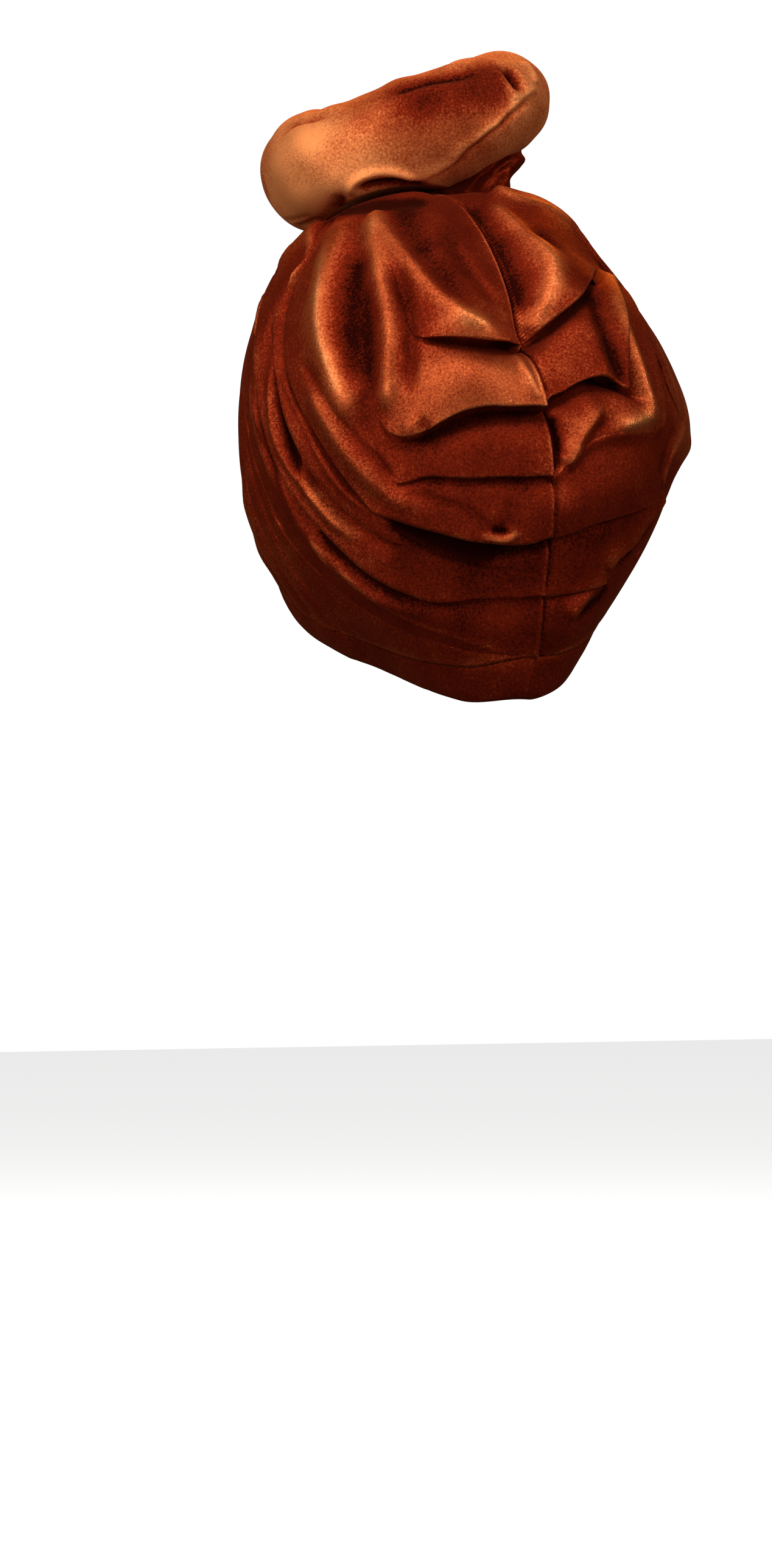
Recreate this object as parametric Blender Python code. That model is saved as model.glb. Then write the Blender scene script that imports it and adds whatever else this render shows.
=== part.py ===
"""Ready-made velvet turban: two pleated panels sewn up the centre back, a turned rim band,
a padded ring on the crown and the gathered stem that carries it.

Metres, +Z up. The wearer faces -Y, and +X is the wearer's left. The origin is the middle of
the head opening. A point on the turban is given by its turn, in degrees from the centre back
towards one side, and its rise, 0 at the top edge of the rim band and 1 at the knot.
"""
import math
from collections import namedtuple

import bmesh
import bpy
import numpy as np

# Head form that the velvet is stretched over
HALF_WIDTH = 0.090
BACK_DEPTH = 0.105
FRONT_DEPTH = 0.099
CROWN_HEIGHT = 0.104
NAPE_DEPTH = 0.150
CENTRE_HEIGHT = 0.079
KNOT_TILT = 20.0
KNOT_SIDE = 6.0
KNOT_TILT_FROM = -20.0
OVAL = 2.0

# Cloth
PANEL_WALL = 0.0020
BAND_WALL = 0.0030
BAND_WIDTH = 0.0170
BAND_PUFF = 0.0010
BAND_SEAM_DEPTH = 0.0008
BAND_LINING_PUFF = 0.5
LIP_HEIGHT = 0.0060
POCKET_DEPTH = 0.0060
PUFF_HEIGHT = 0.0060
POCKET_FOOT = 0.07
SEAM_PINCH = 0.0120
SEAM_PINCH_TURN = 11.0
GAP = 0.0003
BAND_GAP = 0.0005

# Padded ring on the crown
ROLL_HALF_WIDTH = 0.0425
ROLL_HALF_DEPTH = 0.0330
ROLL_TUBE = 0.0240
ROLL_LIFT = 0.0330
ROLL_SHIFT = 0.0090
ROLL_SEAT = 0.0030
ROLL_TILT = 22.0
ROLL_PITCH = 8.0
ROLL_TURN = 20.0
CREASE_DEPTH = 0.0030

# Gathered stem under the ring
KNOT_RISE = 0.965
STEM_SEAT = 0.0015
STEM_RUFFLE = 0.0020
STEM_WAIST = 0.82
STEM_WAIST_RISE = 0.5
STEM_CORE = 0.4
STEM_GATHERS = 13

# Facets
ALONG_STEPS = 16
TIER_STEPS = 4
WIDE_TIER = 40.0
BAND_STEPS = 72
ROLL_STEPS = 48
ROLL_SIDES = 16
STEM_STEPS = 52
STEM_SEAT_STEPS = 3

VELVET = (0.160, 0.020, 0.008)
VELVET_LIGHT = (0.330, 0.060, 0.018)
VELVET_DARK = (0.070, 0.008, 0.004)

# Shares of the plain egg, by elevation in degrees above the head's centre; a roundness of 2
# is an oval section and less than 2 a section with flatter corners
SECTIONS = [
    ("elevation", "left", "right", "back", "front", "roundness"),
    (-65, 0.83, 0.76, 1.13, 1.04, 1.55),
    (-45, 0.885, 0.83, 1.09, 1.04, 1.70),
    (-30, 0.93, 0.89, 1.06, 1.02, 1.85),
    (-15, 0.96, 0.95, 1.035, 1.00, 2.00),
    (0, 0.975, 0.985, 1.00, 0.98, 2.00),
    (20, 0.995, 0.95, 0.955, 1.01, 2.00),
    (40, 1.02, 0.905, 0.93, 1.03, 2.00),
    (60, 1.01, 0.915, 0.93, 1.00, 2.00),
    (75, 0.97, 0.94, 0.945, 0.97, 2.00),
    (90, 0.93, 0.93, 0.93, 0.93, 2.00),
]

# Edge of the opening, as degrees of elevation round the head
RIM = [
    ("turn", "left", "right"),
    (0, -54.5, -54.5),
    (20, -61.0, -56.5),
    (40, -67.0, -59.5),
    (60, -69.0, -63.0),
    (80, -66.5, -63.5),
    (100, -61.5, -60.5),
    (120, -53.0, -53.0),
    (140, -39.0, -39.0),
    (160, -28.0, -28.0),
    (180, -24.0, -24.0),
]

# How many degrees the back seam leans to the wearer's left, and its share of the pinch
SEAM = [
    ("elevation", "lean", "pinch"),
    (-60, 0.0, 0.05),
    (-35, 0.0, 0.15),
    (-15, 0.0, 0.00),
    (0, 1.0, 0.20),
    (9, 2.3, 0.60),
    (16, 3.2, 1.00),
    (24, 3.2, 0.80),
    (40, 2.6, 0.60),
    (60, 1.5, 0.35),
    (75, 0.5, 0.10),
    (90, 0.0, 0.00),
]

# How much of a fold's height it has along its run from the seam to the knot
RUN = [
    ("run", "height"),
    (0.0, 0.20),
    (0.2, 0.90),
    (0.4, 1.00),
    (0.6, 0.75),
    (0.8, 0.45),
    (1.0, 0.00),
]

# Each fold starts in the back seam or at the rim band, runs out, turns up and ends at the knot.
# Places are (turn, rise); lip, pocket and puff are shares of their named sizes.
Fold = namedtuple("Fold", "name start out corner side high top lip pocket puff")
LEFT_FOLDS = [
    Fold("seam", (0, 0.475), (0, 0.53), (0, 0.60), (0, 0.69), (0, 0.80), 0, 0.0, 0.0, 0.5),
    Fold("crown", (0, 0.448), (14, 0.455), (28, 0.478), (31, 0.58), (38, 0.70), 44, 1.0, 1.0, 0.2),
    Fold("upper", (0, 0.345), (16, 0.357), (33, 0.355), (36, 0.49), (39, 0.65), 50, 0.7, 0.8, 0.1),
    Fold("middle", (0, 0.24), (18, 0.268), (37, 0.300), (42, 0.43), (42, 0.67), 56, 0.4, 0.5, 0.6),
    Fold("deep", (0, 0.16), (22, 0.192), (46, 0.260), (62, 0.42), (64, 0.69), 68, 0.9, 1.1, 0.3),
    Fold("lower", (0, 0.08), (25, 0.125), (52, 0.185), (73, 0.42), (76, 0.67), 82, 0.7, 0.9, 0.2),
    Fold("nape", (0, 0.00), (34, 0.035), (68, 0.110), (84, 0.30), (92, 0.58), 97, 0.5, 0.4, 0.3),
    Fold("ear", (78, 0.00), (83, 0.070), (90, 0.190), (101, 0.38), (107, 0.61), 112, 0.3, 0.3, 0.4),
    Fold("cheek", (106, 0.00), (110, 0.090), (115, 0.220), (121, 0.40), (125, 0.62), 127, 0.3, 0.3, 0.4),
    Fold("temple", (130, 0.00), (133, 0.100), (136, 0.240), (140, 0.42), (142, 0.63), 142, 0.3, 0.3, 0.4),
    Fold("brow", (153, 0.00), (155, 0.100), (157, 0.240), (158, 0.42), (159, 0.63), 158, 0.3, 0.3, 0.4),
    Fold("front", (180, 0.00), (180, 0.100), (180, 0.240), (180, 0.42), (180, 0.63), 180, 0.0, 0.0, 0.0),
]
RIGHT_FOLDS = [
    Fold("seam", (0, 0.475), (0, 0.53), (0, 0.60), (0, 0.69), (0, 0.80), 0, 0.0, 0.0, 0.6),
    Fold("crown", (0, 0.448), (13, 0.490), (37, 0.590), (26, 0.640), (12, 0.72), 8, 0.6, 0.7, 0.2),
    Fold("upper", (0, 0.345), (14, 0.385), (25, 0.430), (44, 0.600), (25, 0.73), 20, 0.8, 1.3, 0.5),
    Fold("middle", (0, 0.24), (12, 0.300), (31, 0.350), (48, 0.550), (39, 0.74), 34, 0.5, 0.4, 1.2),
    Fold("deep", (0, 0.16), (20, 0.200), (48, 0.280), (58, 0.490), (53, 0.71), 50, 0.8, 0.8, 0.6),
    Fold("lower", (0, 0.08), (22, 0.102), (52, 0.160), (70, 0.400), (68, 0.66), 70, 0.6, 0.7, 0.4),
    Fold("nape", (0, 0.00), (28, 0.020), (62, 0.090), (82, 0.290), (88, 0.58), 90, 0.5, 0.4, 0.3),
    Fold("ear", (78, 0.00), (83, 0.070), (90, 0.190), (101, 0.38), (107, 0.61), 112, 0.3, 0.3, 0.4),
    Fold("cheek", (106, 0.00), (110, 0.090), (115, 0.220), (121, 0.40), (125, 0.62), 127, 0.3, 0.3, 0.4),
    Fold("temple", (130, 0.00), (133, 0.100), (136, 0.240), (140, 0.42), (142, 0.63), 142, 0.3, 0.3, 0.4),
    Fold("brow", (153, 0.00), (155, 0.100), (157, 0.240), (158, 0.42), (159, 0.63), 158, 0.3, 0.3, 0.4),
    Fold("front", (180, 0.00), (180, 0.100), (180, 0.240), (180, 0.42), (180, 0.63), 180, 0.0, 0.0, 0.0),
]

# Thickness of the ring; way 0 is its right end, 90 the side towards the face, 270 the back
RING = [
    ("way", "tube"),
    (0, 0.84),
    (60, 0.88),
    (120, 0.94),
    (180, 0.95),
    (225, 1.00),
    (270, 1.03),
    (315, 0.95),
    (360, 0.84),
]

# The stem's foot on the crown, and how far its top reaches under the ring's middle line
STEM = [
    ("turn", "foot", "reach"),
    (-180, 0.90, 0.70),
    (-120, 0.85, 1.00),
    (-85, 0.83, 1.15),
    (-50, 0.88, 0.90),
    (-15, 0.94, 0.45),
    (30, 0.95, 0.40),
    (90, 0.94, 0.45),
    (140, 0.92, 0.55),
    (180, 0.90, 0.70),
]

# Creases pressed into the ring where it is wrapped and gathered
CREASES = [
    # start way, start side, end way, end side, share of the depth, width in degrees
    (262, -75, 345, 40, 1.0, 14),
    (300, 62, 372, 75, 0.8, 16),
    (185, -80, 235, -60, 0.7, 14),
    (15, -60, 120, 60, 0.8, 16),
]


def smooth(places, table, column, level_ends=False):
    """Value of one named column at each place, along a smooth curve through the table's rows."""
    names, *rows = table
    rows = np.asarray(rows, float)
    keys = rows[:, 0]
    values = rows[:, names.index(column)]
    slopes = np.gradient(values, keys)
    if level_ends:
        slopes[[0, -1]] = 0.0
    places = np.clip(places, keys[0], keys[-1])
    index = np.clip(np.searchsorted(keys, places, side="right") - 1, 0, len(keys) - 2)
    span = keys[index + 1] - keys[index]
    part = (places - keys[index]) / span
    first = (2 * part**3 - 3 * part**2 + 1) * values[index]
    first += (part**3 - 2 * part**2 + part) * span * slopes[index]
    last = (3 * part**2 - 2 * part**3) * values[index + 1]
    last += (part**3 - part**2) * span * slopes[index + 1]
    return first + last


def heading(turn, elevation):
    """Unit direction from the head's centre; the pole leans forward to the knot."""
    lean = smooth(elevation, SEAM, "lean") * (0.5 + 0.5 * np.cos(np.radians(turn))) ** 2
    around = np.radians(turn + lean)
    up = np.radians(elevation)
    share = np.clip((elevation - KNOT_TILT_FROM) / (90.0 - KNOT_TILT_FROM), 0.0, 1.0)
    tilt = np.radians(KNOT_TILT) * share**2 * (3 - 2 * share)
    x = np.sin(around) * np.cos(up)
    y = np.cos(around) * np.cos(up)
    z = np.sin(up)
    y, z = y * np.cos(tilt) - z * np.sin(tilt), y * np.sin(tilt) + z * np.cos(tilt)
    side = tilt * KNOT_SIDE / KNOT_TILT
    return np.stack([x * np.cos(side) + z * np.sin(side), y, z * np.cos(side) - x * np.sin(side)], -1)


def form_radius(direction):
    """Distance from the head's centre to the plain form in each direction."""
    elevation = np.degrees(np.arcsin(np.clip(direction[..., 2], -1.0, 1.0)))
    level = np.maximum(np.hypot(direction[..., 0], direction[..., 1]), 1e-9)
    sideways = direction[..., 0] / level
    backward = direction[..., 1] / level
    height = np.where(direction[..., 2] > 0, CROWN_HEIGHT, NAPE_DEPTH)
    depth = np.where(backward > 0, BACK_DEPTH, FRONT_DEPTH)
    share = {name: smooth(elevation, SECTIONS, name) for name in SECTIONS[0][1:]}
    side_share = np.where(sideways > 0, share["left"], share["right"])
    depth_share = np.where(backward > 0, share["back"], share["front"])
    power = np.where(backward > 0, share["roundness"], OVAL)
    rise = direction[..., 2] / height
    side_radius = side_share / np.sqrt((level / HALF_WIDTH) ** 2 + rise**2)
    depth_radius = depth_share / np.sqrt((level / depth) ** 2 + rise**2)
    total = (np.abs(sideways) / side_radius) ** power + (np.abs(backward) / depth_radius) ** power
    return total ** (-1.0 / power)


def rim_elevation(turn):
    left = smooth(np.abs(turn), RIM, "left", level_ends=True)
    right = smooth(np.abs(turn), RIM, "right", level_ends=True)
    return np.where(turn > 0, left, right)


def band_elevation(turn):
    """Elevation of the band's top edge, one band width above the rim."""
    rim = rim_elevation(turn)
    return rim + np.degrees(BAND_WIDTH / form_radius(heading(turn, rim)))


def place(turn, elevation, height):
    """World point at a height above the plain form."""
    direction = heading(turn, elevation)
    pinch = SEAM_PINCH * smooth(elevation, SEAM, "pinch") * np.exp(-((turn / SEAM_PINCH_TURN) ** 2))
    distance = form_radius(direction) - pinch + height
    return direction * distance[..., None] + np.array([0.0, 0.0, CENTRE_HEIGHT])


def panel_place(side, turn, rise, height):
    """Point of one panel; its edges keep half a gap to the seam and to the centre front."""
    edge = band_elevation(side * turn)
    elevation = edge + (90.0 - edge) * rise
    edge_gap = np.degrees(0.5 * GAP / (CROWN_HEIGHT * np.cos(np.radians(elevation))))
    kept = edge_gap + turn * (1.0 - 2.0 * edge_gap / 180.0)
    return place(side * kept, elevation, height)


def fold_curve(fold, along):
    """Turn and rise along one fold, as a smooth curve through its places."""
    stops = [fold.start, fold.out, fold.corner, fold.side, fold.high, (fold.top, KNOT_RISE)]
    keys = np.linspace(0.0, 1.0, len(stops))
    table = [("along", "turn", "rise")]
    table += [(key, turn, rise) for key, (turn, rise) in zip(keys, stops)]
    return smooth(along, table, "turn"), smooth(along, table, "rise")


def tier_shares(first, second):
    """Shares across the tier between two folds: the foot of the pocket, then up to the lip."""
    wide = second.start[0] - first.start[0] > WIDE_TIER
    steps = 2 * TIER_STEPS if wide else TIER_STEPS
    return np.linspace(POCKET_FOOT, 1.0, steps + 1)


def panel_rows(side, folds):
    """Grid rows of one panel's outer surface, from the seam round to the centre front."""
    along = np.linspace(0.0, 1.0, ALONG_STEPS + 1)
    run = smooth(along, RUN, "height")
    turn, rise = fold_curve(folds[0], along)
    rows = [(turn, rise, np.zeros_like(along))]
    for first, second in zip(folds, folds[1:]):
        first_turn, first_rise = fold_curve(first, along)
        second_turn, second_rise = fold_curve(second, along)
        for share in tier_shares(first, second):
            turn = first_turn + (second_turn - first_turn) * share
            rise = first_rise + (second_rise - first_rise) * share
            height = -POCKET_DEPTH * first.pocket * (1.0 - share) ** 2
            height += LIP_HEIGHT * second.lip * share**2
            height += PUFF_HEIGHT * first.puff * math.sin(math.pi * share)
            rows.append((turn, rise, height * run))
    return rows


def closed_shell(name, outer, inner, ring):
    """Solid between two equal grids of points; a ring's last row joins its first."""
    mesh = bmesh.new()
    grids = []
    for grid in (outer, inner):
        grids.append([[mesh.verts.new(point) for point in row] for row in grid])
    rows = len(outer)
    columns = len(outer[0])
    row_pairs = [(row, (row + 1) % rows) for row in range(rows if ring else rows - 1)]
    for flip, grid in enumerate(grids):
        for row, following in row_pairs:
            for column in range(columns - 1):
                face = [grid[row][column], grid[row][column + 1]]
                face += [grid[following][column + 1], grid[following][column]]
                mesh.faces.new(face[::-1] if flip else face)
    for column in (0, columns - 1):
        for row, following in row_pairs:
            face = [grids[0][row][column], grids[0][following][column]]
            face += [grids[1][following][column], grids[1][row][column]]
            mesh.faces.new(face)
    if not ring:
        for row in (0, rows - 1):
            for column in range(columns - 1):
                face = [grids[0][row][column], grids[0][row][column + 1]]
                face += [grids[1][row][column + 1], grids[1][row][column]]
                mesh.faces.new(face)
    return finish(name, mesh)


def finish(name, mesh):
    """Turn a bmesh into a scene object with triangles that face outward."""
    bmesh.ops.triangulate(mesh, faces=mesh.faces[:])
    bmesh.ops.recalc_face_normals(mesh, faces=mesh.faces[:])
    data = bpy.data.meshes.new(name)
    mesh.to_mesh(data)
    mesh.free()
    return bpy.data.objects.new(name, data)


def build_panel(name, side, folds):
    """One velvet panel, pleated into the seam, as a wall of even depth."""
    outer = []
    inner = []
    for turn, rise, height in panel_rows(side, folds):
        outer.append(panel_place(side, turn, rise, height))
        inner.append(panel_place(side, turn, rise, height - PANEL_WALL))
    return closed_shell(name, outer, inner, ring=False)


def build_band():
    """Turned hem round the opening, with the back seam pressed into it."""
    profile = [
        # share of the width below the top edge, share of the puff outside
        (0.00, 0.0),
        (0.25, 0.8),
        (0.60, 1.0),
        (0.90, 0.7),
        (1.00, 0.0),
    ]
    outer = []
    inner = []
    for turn in np.arange(BAND_STEPS) * 360.0 / BAND_STEPS - 180.0:
        turns = np.full(len(profile), turn)
        top = band_elevation(turns) - np.degrees(BAND_GAP / BACK_DEPTH)
        drop = np.array([share for share, puff in profile])
        puff = np.array([puff for share, puff in profile])
        elevation = top + (rim_elevation(turns) - top) * drop
        groove = BAND_SEAM_DEPTH if turn == 0.0 else 0.0
        outer.append(place(turns, elevation, BAND_PUFF * puff - groove))
        inner.append(place(turns, elevation, BAND_PUFF * BAND_LINING_PUFF * puff - BAND_WALL))
    return closed_shell("rim_band", outer, inner, ring=True)


def knot_direction():
    return heading(np.array([0.0]), np.array([90.0]))[0]


def roll_frame():
    """Centre of the ring, its axes to the right and away from the back, and its normal."""
    knot = knot_direction()
    reach = form_radius(knot[None, :])[0] + ROLL_LIFT
    centre = knot * reach + np.array([-ROLL_SHIFT, 0.0, CENTRE_HEIGHT])
    turn, tilt, pitch = (math.radians(angle) for angle in (ROLL_TURN, ROLL_TILT, ROLL_PITCH))
    right = np.array([-math.cos(turn), math.sin(turn), 0.0])
    away = np.array([-math.sin(turn), -math.cos(turn), 0.0])
    up = np.array([0.0, 0.0, 1.0])
    right = right * math.cos(tilt) + up * math.sin(tilt)
    lifted = np.cross(right, away)
    away = away * math.cos(pitch) + lifted * math.sin(pitch) * np.sign(lifted[2])
    normal = np.cross(right, away)
    return centre, right, away, normal * np.sign(normal[2])


def roll_radius(way, side):
    """Tube radius of the ring at one way round it and one place round the tube."""
    radius = ROLL_TUBE * smooth(np.array([way]), RING, "tube")[0]
    for start_way, start_side, end_way, end_side, share, width in CREASES:
        for whole in (way, way + 360.0):
            part = (whole - start_way) / (end_way - start_way)
            if 0.0 <= part <= 1.0:
                line = start_side + (end_side - start_side) * part
                off = (side - line + 180.0) % 360.0 - 180.0
                ease = math.sin(math.pi * part) ** 0.5
                radius -= CREASE_DEPTH * share * ease * math.exp(-((off / width) ** 2))
    return radius


def pressed(point):
    """The point, moved out where the soft ring would sink into the crown."""
    middle = np.array([0.0, 0.0, CENTRE_HEIGHT])
    distance = np.linalg.norm(point - middle)
    direction = (point - middle) / distance
    return middle + direction * max(distance, form_radius(direction[None, :])[0] + ROLL_SEAT)


def build_roll():
    """Padded ring, an oval tube with its wrap creases."""
    centre, right, away, normal = roll_frame()
    mesh = bmesh.new()
    loops = []
    for step in range(ROLL_STEPS):
        way = 360.0 * step / ROLL_STEPS
        angle = math.radians(way)
        middle = centre + right * ROLL_HALF_WIDTH * math.cos(angle)
        middle = middle + away * ROLL_HALF_DEPTH * math.sin(angle)
        outward = right * math.cos(angle) / ROLL_HALF_WIDTH + away * math.sin(angle) / ROLL_HALF_DEPTH
        outward = outward / np.linalg.norm(outward)
        loop = []
        for corner in range(ROLL_SIDES):
            side = 360.0 * corner / ROLL_SIDES
            radius = roll_radius(way, side)
            turned = math.radians(side)
            point = middle + (outward * math.cos(turned) + normal * math.sin(turned)) * radius
            loop.append(mesh.verts.new(pressed(point)))
        loops.append(loop)
    for loop, following in zip(loops, loops[1:] + loops[:1]):
        for corner in range(ROLL_SIDES):
            after = (corner + 1) % ROLL_SIDES
            mesh.faces.new([loop[corner], following[corner], following[after], loop[after]])
    return finish("top_roll", mesh)


def build_stem():
    """Gathered collar from the crown up to the underside of the ring."""
    centre, right, away, normal = roll_frame()
    turns = np.arange(STEM_STEPS) * 360.0 / STEM_STEPS - 180.0
    edge = band_elevation(turns)
    foot_rise = smooth(turns, STEM, "foot")
    loops = []
    for share in np.linspace(0.0, 1.0, STEM_SEAT_STEPS + 1):
        rise = KNOT_RISE + (foot_rise - KNOT_RISE) * share
        loops.append(place(turns, edge + (90.0 - edge) * rise, GAP + STEM_SEAT * share))
    way = np.radians(270.0 - turns + ROLL_TURN)
    wave = STEM_RUFFLE * np.cos(STEM_GATHERS * way)
    reach = smooth(turns, STEM, "reach")
    wide = np.cos(way) * (ROLL_HALF_WIDTH * reach + wave)
    deep = np.sin(way) * (ROLL_HALF_DEPTH * reach + wave)
    out = wide[:, None] * right + deep[:, None] * away
    drop = ROLL_TUBE * smooth(np.degrees(way) % 360.0, RING, "tube") + GAP
    lowest = ROLL_TUBE * max(tube for way, tube in RING[1:]) + GAP
    top = centre + out - drop[:, None] * normal
    under = centre + out * STEM_CORE - lowest * normal
    middle = loops[-1] * (1.0 - STEM_WAIST_RISE) + top * STEM_WAIST_RISE
    waist = middle.mean(axis=0) + (middle - middle.mean(axis=0)) * STEM_WAIST
    loops += [waist, top, under]
    mesh = bmesh.new()
    rings = [[mesh.verts.new(point) for point in loop] for loop in loops]
    for ring, following in zip(rings, rings[1:]):
        for index in range(STEM_STEPS):
            after = (index + 1) % STEM_STEPS
            mesh.faces.new([ring[index], ring[after], following[after], following[index]])
    mesh.faces.new(rings[0][::-1])
    mesh.faces.new(rings[-1])
    return finish("knot_stem", mesh)


def velvet(name, colour):
    material = bpy.data.materials.new(name)
    material.use_nodes = True
    shader = material.node_tree.nodes["Principled BSDF"]
    shader.inputs["Base Color"].default_value = (*colour, 1.0)
    shader.inputs["Roughness"].default_value = 0.75
    shader.inputs["Metallic"].default_value = 0.0
    shader.inputs["Sheen Weight"].default_value = 0.6
    material.diffuse_color = (*colour, 1.0)
    return material


def main():
    for item in list(bpy.data.objects):
        bpy.data.objects.remove(item, do_unlink=True)
    collection = bpy.data.collections.new("turban_headwrap")
    bpy.context.scene.collection.children.link(collection)
    pieces = [
        (build_panel("left_panel", 1, LEFT_FOLDS), VELVET),
        (build_panel("right_panel", -1, RIGHT_FOLDS), VELVET),
        (build_band(), VELVET_DARK),
        (build_roll(), VELVET_LIGHT),
        (build_stem(), VELVET_DARK),
    ]
    for piece, colour in pieces:
        piece.data.materials.append(velvet(piece.name + "_velvet", colour))
        collection.objects.link(piece)


main()
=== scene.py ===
"""Looks of the velvet turban: pleated panels with real overlaps, a turned band, a wrapped ring
and a gathered stem, in crushed-pile velvet under soft studio light.

Metres, in the CAD frame. A point of a panel is given by its turn, in degrees from the centre
back towards one side, and its rise, 0 at the band's top edge and 1 at the knot. Fold lines are
named lists of pixels of the photograph, lifted from its camera onto the plain head form.
"""
import math
from collections import namedtuple

import bmesh
import bpy
import numpy as np
from mathutils import Matrix

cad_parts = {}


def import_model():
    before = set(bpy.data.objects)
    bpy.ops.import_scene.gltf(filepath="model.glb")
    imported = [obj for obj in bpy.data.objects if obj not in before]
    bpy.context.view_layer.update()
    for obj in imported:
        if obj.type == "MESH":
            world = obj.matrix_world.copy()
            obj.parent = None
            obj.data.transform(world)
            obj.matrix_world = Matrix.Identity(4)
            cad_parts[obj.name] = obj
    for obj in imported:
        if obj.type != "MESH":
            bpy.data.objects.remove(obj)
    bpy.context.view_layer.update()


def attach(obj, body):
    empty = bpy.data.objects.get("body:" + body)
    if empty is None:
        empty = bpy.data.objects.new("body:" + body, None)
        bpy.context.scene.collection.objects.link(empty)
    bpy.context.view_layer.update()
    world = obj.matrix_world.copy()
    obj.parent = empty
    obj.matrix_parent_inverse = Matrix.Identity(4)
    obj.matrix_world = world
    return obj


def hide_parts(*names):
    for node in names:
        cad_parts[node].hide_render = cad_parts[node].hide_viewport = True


# The photograph's camera
PHOTO_SIZE = (1268, 2576)
HEAD_PIXEL = (749, 700)
PIXELS_PER_METRE = 3930.0
VIEW_TURN = 20.5
VIEW_DISTANCE = 2.4
SENSOR = 24.0

# A millimetre
MM = 0.001

# Head form, as in the CAD source
HALF_WIDTH = 0.090
BACK_DEPTH = 0.105
FRONT_DEPTH = 0.099
CROWN_HEIGHT = 0.104
NAPE_DEPTH = 0.150
CENTRE = np.array([0.0, 0.0, 0.079])
KNOT_TILT = 20.0
KNOT_SIDE = 6.0
KNOT_TILT_FROM = -20.0
KNOT_RISE = 0.965
OVAL = 2.0
BAND_WIDTH = 0.0170
SEAM_PINCH = 0.0120
SEAM_PINCH_TURN = 11.0

# Ring on the crown, as in the CAD source
ROLL_HALF_WIDTH = 0.0425
ROLL_HALF_DEPTH = 0.0330
ROLL_TUBE = 0.0240
ROLL_LIFT = 0.0330
ROLL_SHIFT = 0.0090
ROLL_SEAT = 0.0030
ROLL_TILT = 22.0
ROLL_PITCH = 8.0
ROLL_TURN = 20.0

# Studio: light of the room on the turban, against 1 for the white that the camera sees behind it
ROOM_LIGHT = 0.05
FLOOR_HEIGHT = -0.374
FLOOR_HALF = 4.0
WARM_LIGHT = (1.0, 0.97, 0.93)
WHITE_LIGHT = (1.0, 1.0, 1.0)
LIGHTS = [
    # name, across, towards the camera, high, width, length, watts, colour
    ("top", -0.15, 0.65, 1.5, 0.5, 0.5, 13.0, WARM_LIGHT),
    ("left", -1.25, 0.75, 0.75, 0.45, 0.9, 14.0, WARM_LIGHT),
    ("right", 1.25, 0.75, 0.75, 0.45, 0.9, 12.0, WARM_LIGHT),
    ("low", -0.3, 1.3, -0.35, 1.6, 0.4, 5.0, WARM_LIGHT),
    ("back", 0.0, -1.2, 1.0, 1.2, 0.6, 7.0, WHITE_LIGHT),
]

# Velvet's colour by the nap value: near-black painted shade where its pile is turned from the light, its own
# rust red where it stands up, and a painted golden highlight where it lies towards it
RUST_RED_SHADE_TO_HIGHLIGHT = [
    # nap, red, green, blue
    (0.0, 0.020, 0.0019, 0.0010),
    (0.35, 0.198, 0.0158, 0.0046),
    (0.65, 0.490, 0.0940, 0.0255),
    (1.0, 0.930, 0.3120, 0.0990),
]

# Crushed pile: the span of the noise in use, how far a spot darkens for each one that lightens,
# how far the lean drifts over the cloth, and the depth of the grain
NOISE_SPAN = (0.3, 0.7)
CRUSH_DARK = 0.55
DRIFT = 0.08
PILE_DEPTH = 0.0004

# Samples of the plain surface that pixels are lifted onto, and how near two are as good
SKIN_TURNS = 541
SKIN_RISES = 400
SKIN_TOP = 0.985
SAME_PIXEL = 1.5

# Panel mesh: steps along a pleat, with the corner at the same one on all, and rows across the
# cloth. Folds and puffs have their full size where the cloth between two pleats is FULL_SPAN or
# PUFF_SPAN wide, and they fade over the last KNOT_FADE of the run.
CORNER_ALONG = 0.42
ALONG_STEPS = 176
ROW_STEP = 0.0014
SPAN_LEAST = 0.00001
FULL_SPAN = 0.010
PUFF_SPAN = 0.020
KNOT_FADE = 0.25
TOP_RISE = 0.99

# A pleat's lip, and its pocket, whose cloth comes out from under the lip at POCKET_OUT of the
# tuck and POCKET_END of the depth
LIP_RADIUS = 0.0013
LIP_RADIUS_SHARE = 0.35
LIP_THICKNESS = 0.001
CLOSED_LIP = 0.0006
LIP_BENDS = (90, 55, 20, -15, -50, -90)
POCKET_OUT = 0.1
POCKET_END = 0.84
POCKET_SLOPE = 0.9
POCKET_LEAST = 0.002
POCKET_ROWS = [
    # shares of the tuck and the radius across, and of the lip's underside and the depth in height
    (-0.30, -1.0, 0.8, -0.20),
    (-0.65, -1.0, 0.4, -0.60),
    (-1.0, -1.0, 0.0, -0.85),
    (-1.0, -1.3, 0.0, -0.97),
    (-1.0, 0.0, 0.0, -1.0),
    (-0.6, 0.0, 0.0, -0.98),
    (-0.2, 0.0, 0.0, -0.92),
    (POCKET_OUT, 0.0, 0.0, -POCKET_END),
]

# Cloth along the centre seam, with more rows crowded against it, and the turned strip with its
# stitch marks. TURN_WIDTH is the millimetres to a degree of turn there.
SEAM_STEP = 0.0006
SEAM_STEP_WIDTH = 1.6
SEAM_CROWD = 1.6
SEAM_ROWS = 1.3
TURN_WIDTH = 1.6
STRIP_WIDTH = 0.0028
STRIP_HEIGHT = 0.0007
STRIP_EDGE = 0.0006
STRIP_START = 0.004
STITCH = 0.0015
STITCH_HEIGHT = 0.0001
STITCH_SLANT = 0.8

# Inner face of the panels
CLOTH = 0.0020
LINING_DEPTH = 0.0095
LINING_EASE = 0.06
LINING_TURNS = 72
LINING_RISES = 48
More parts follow.
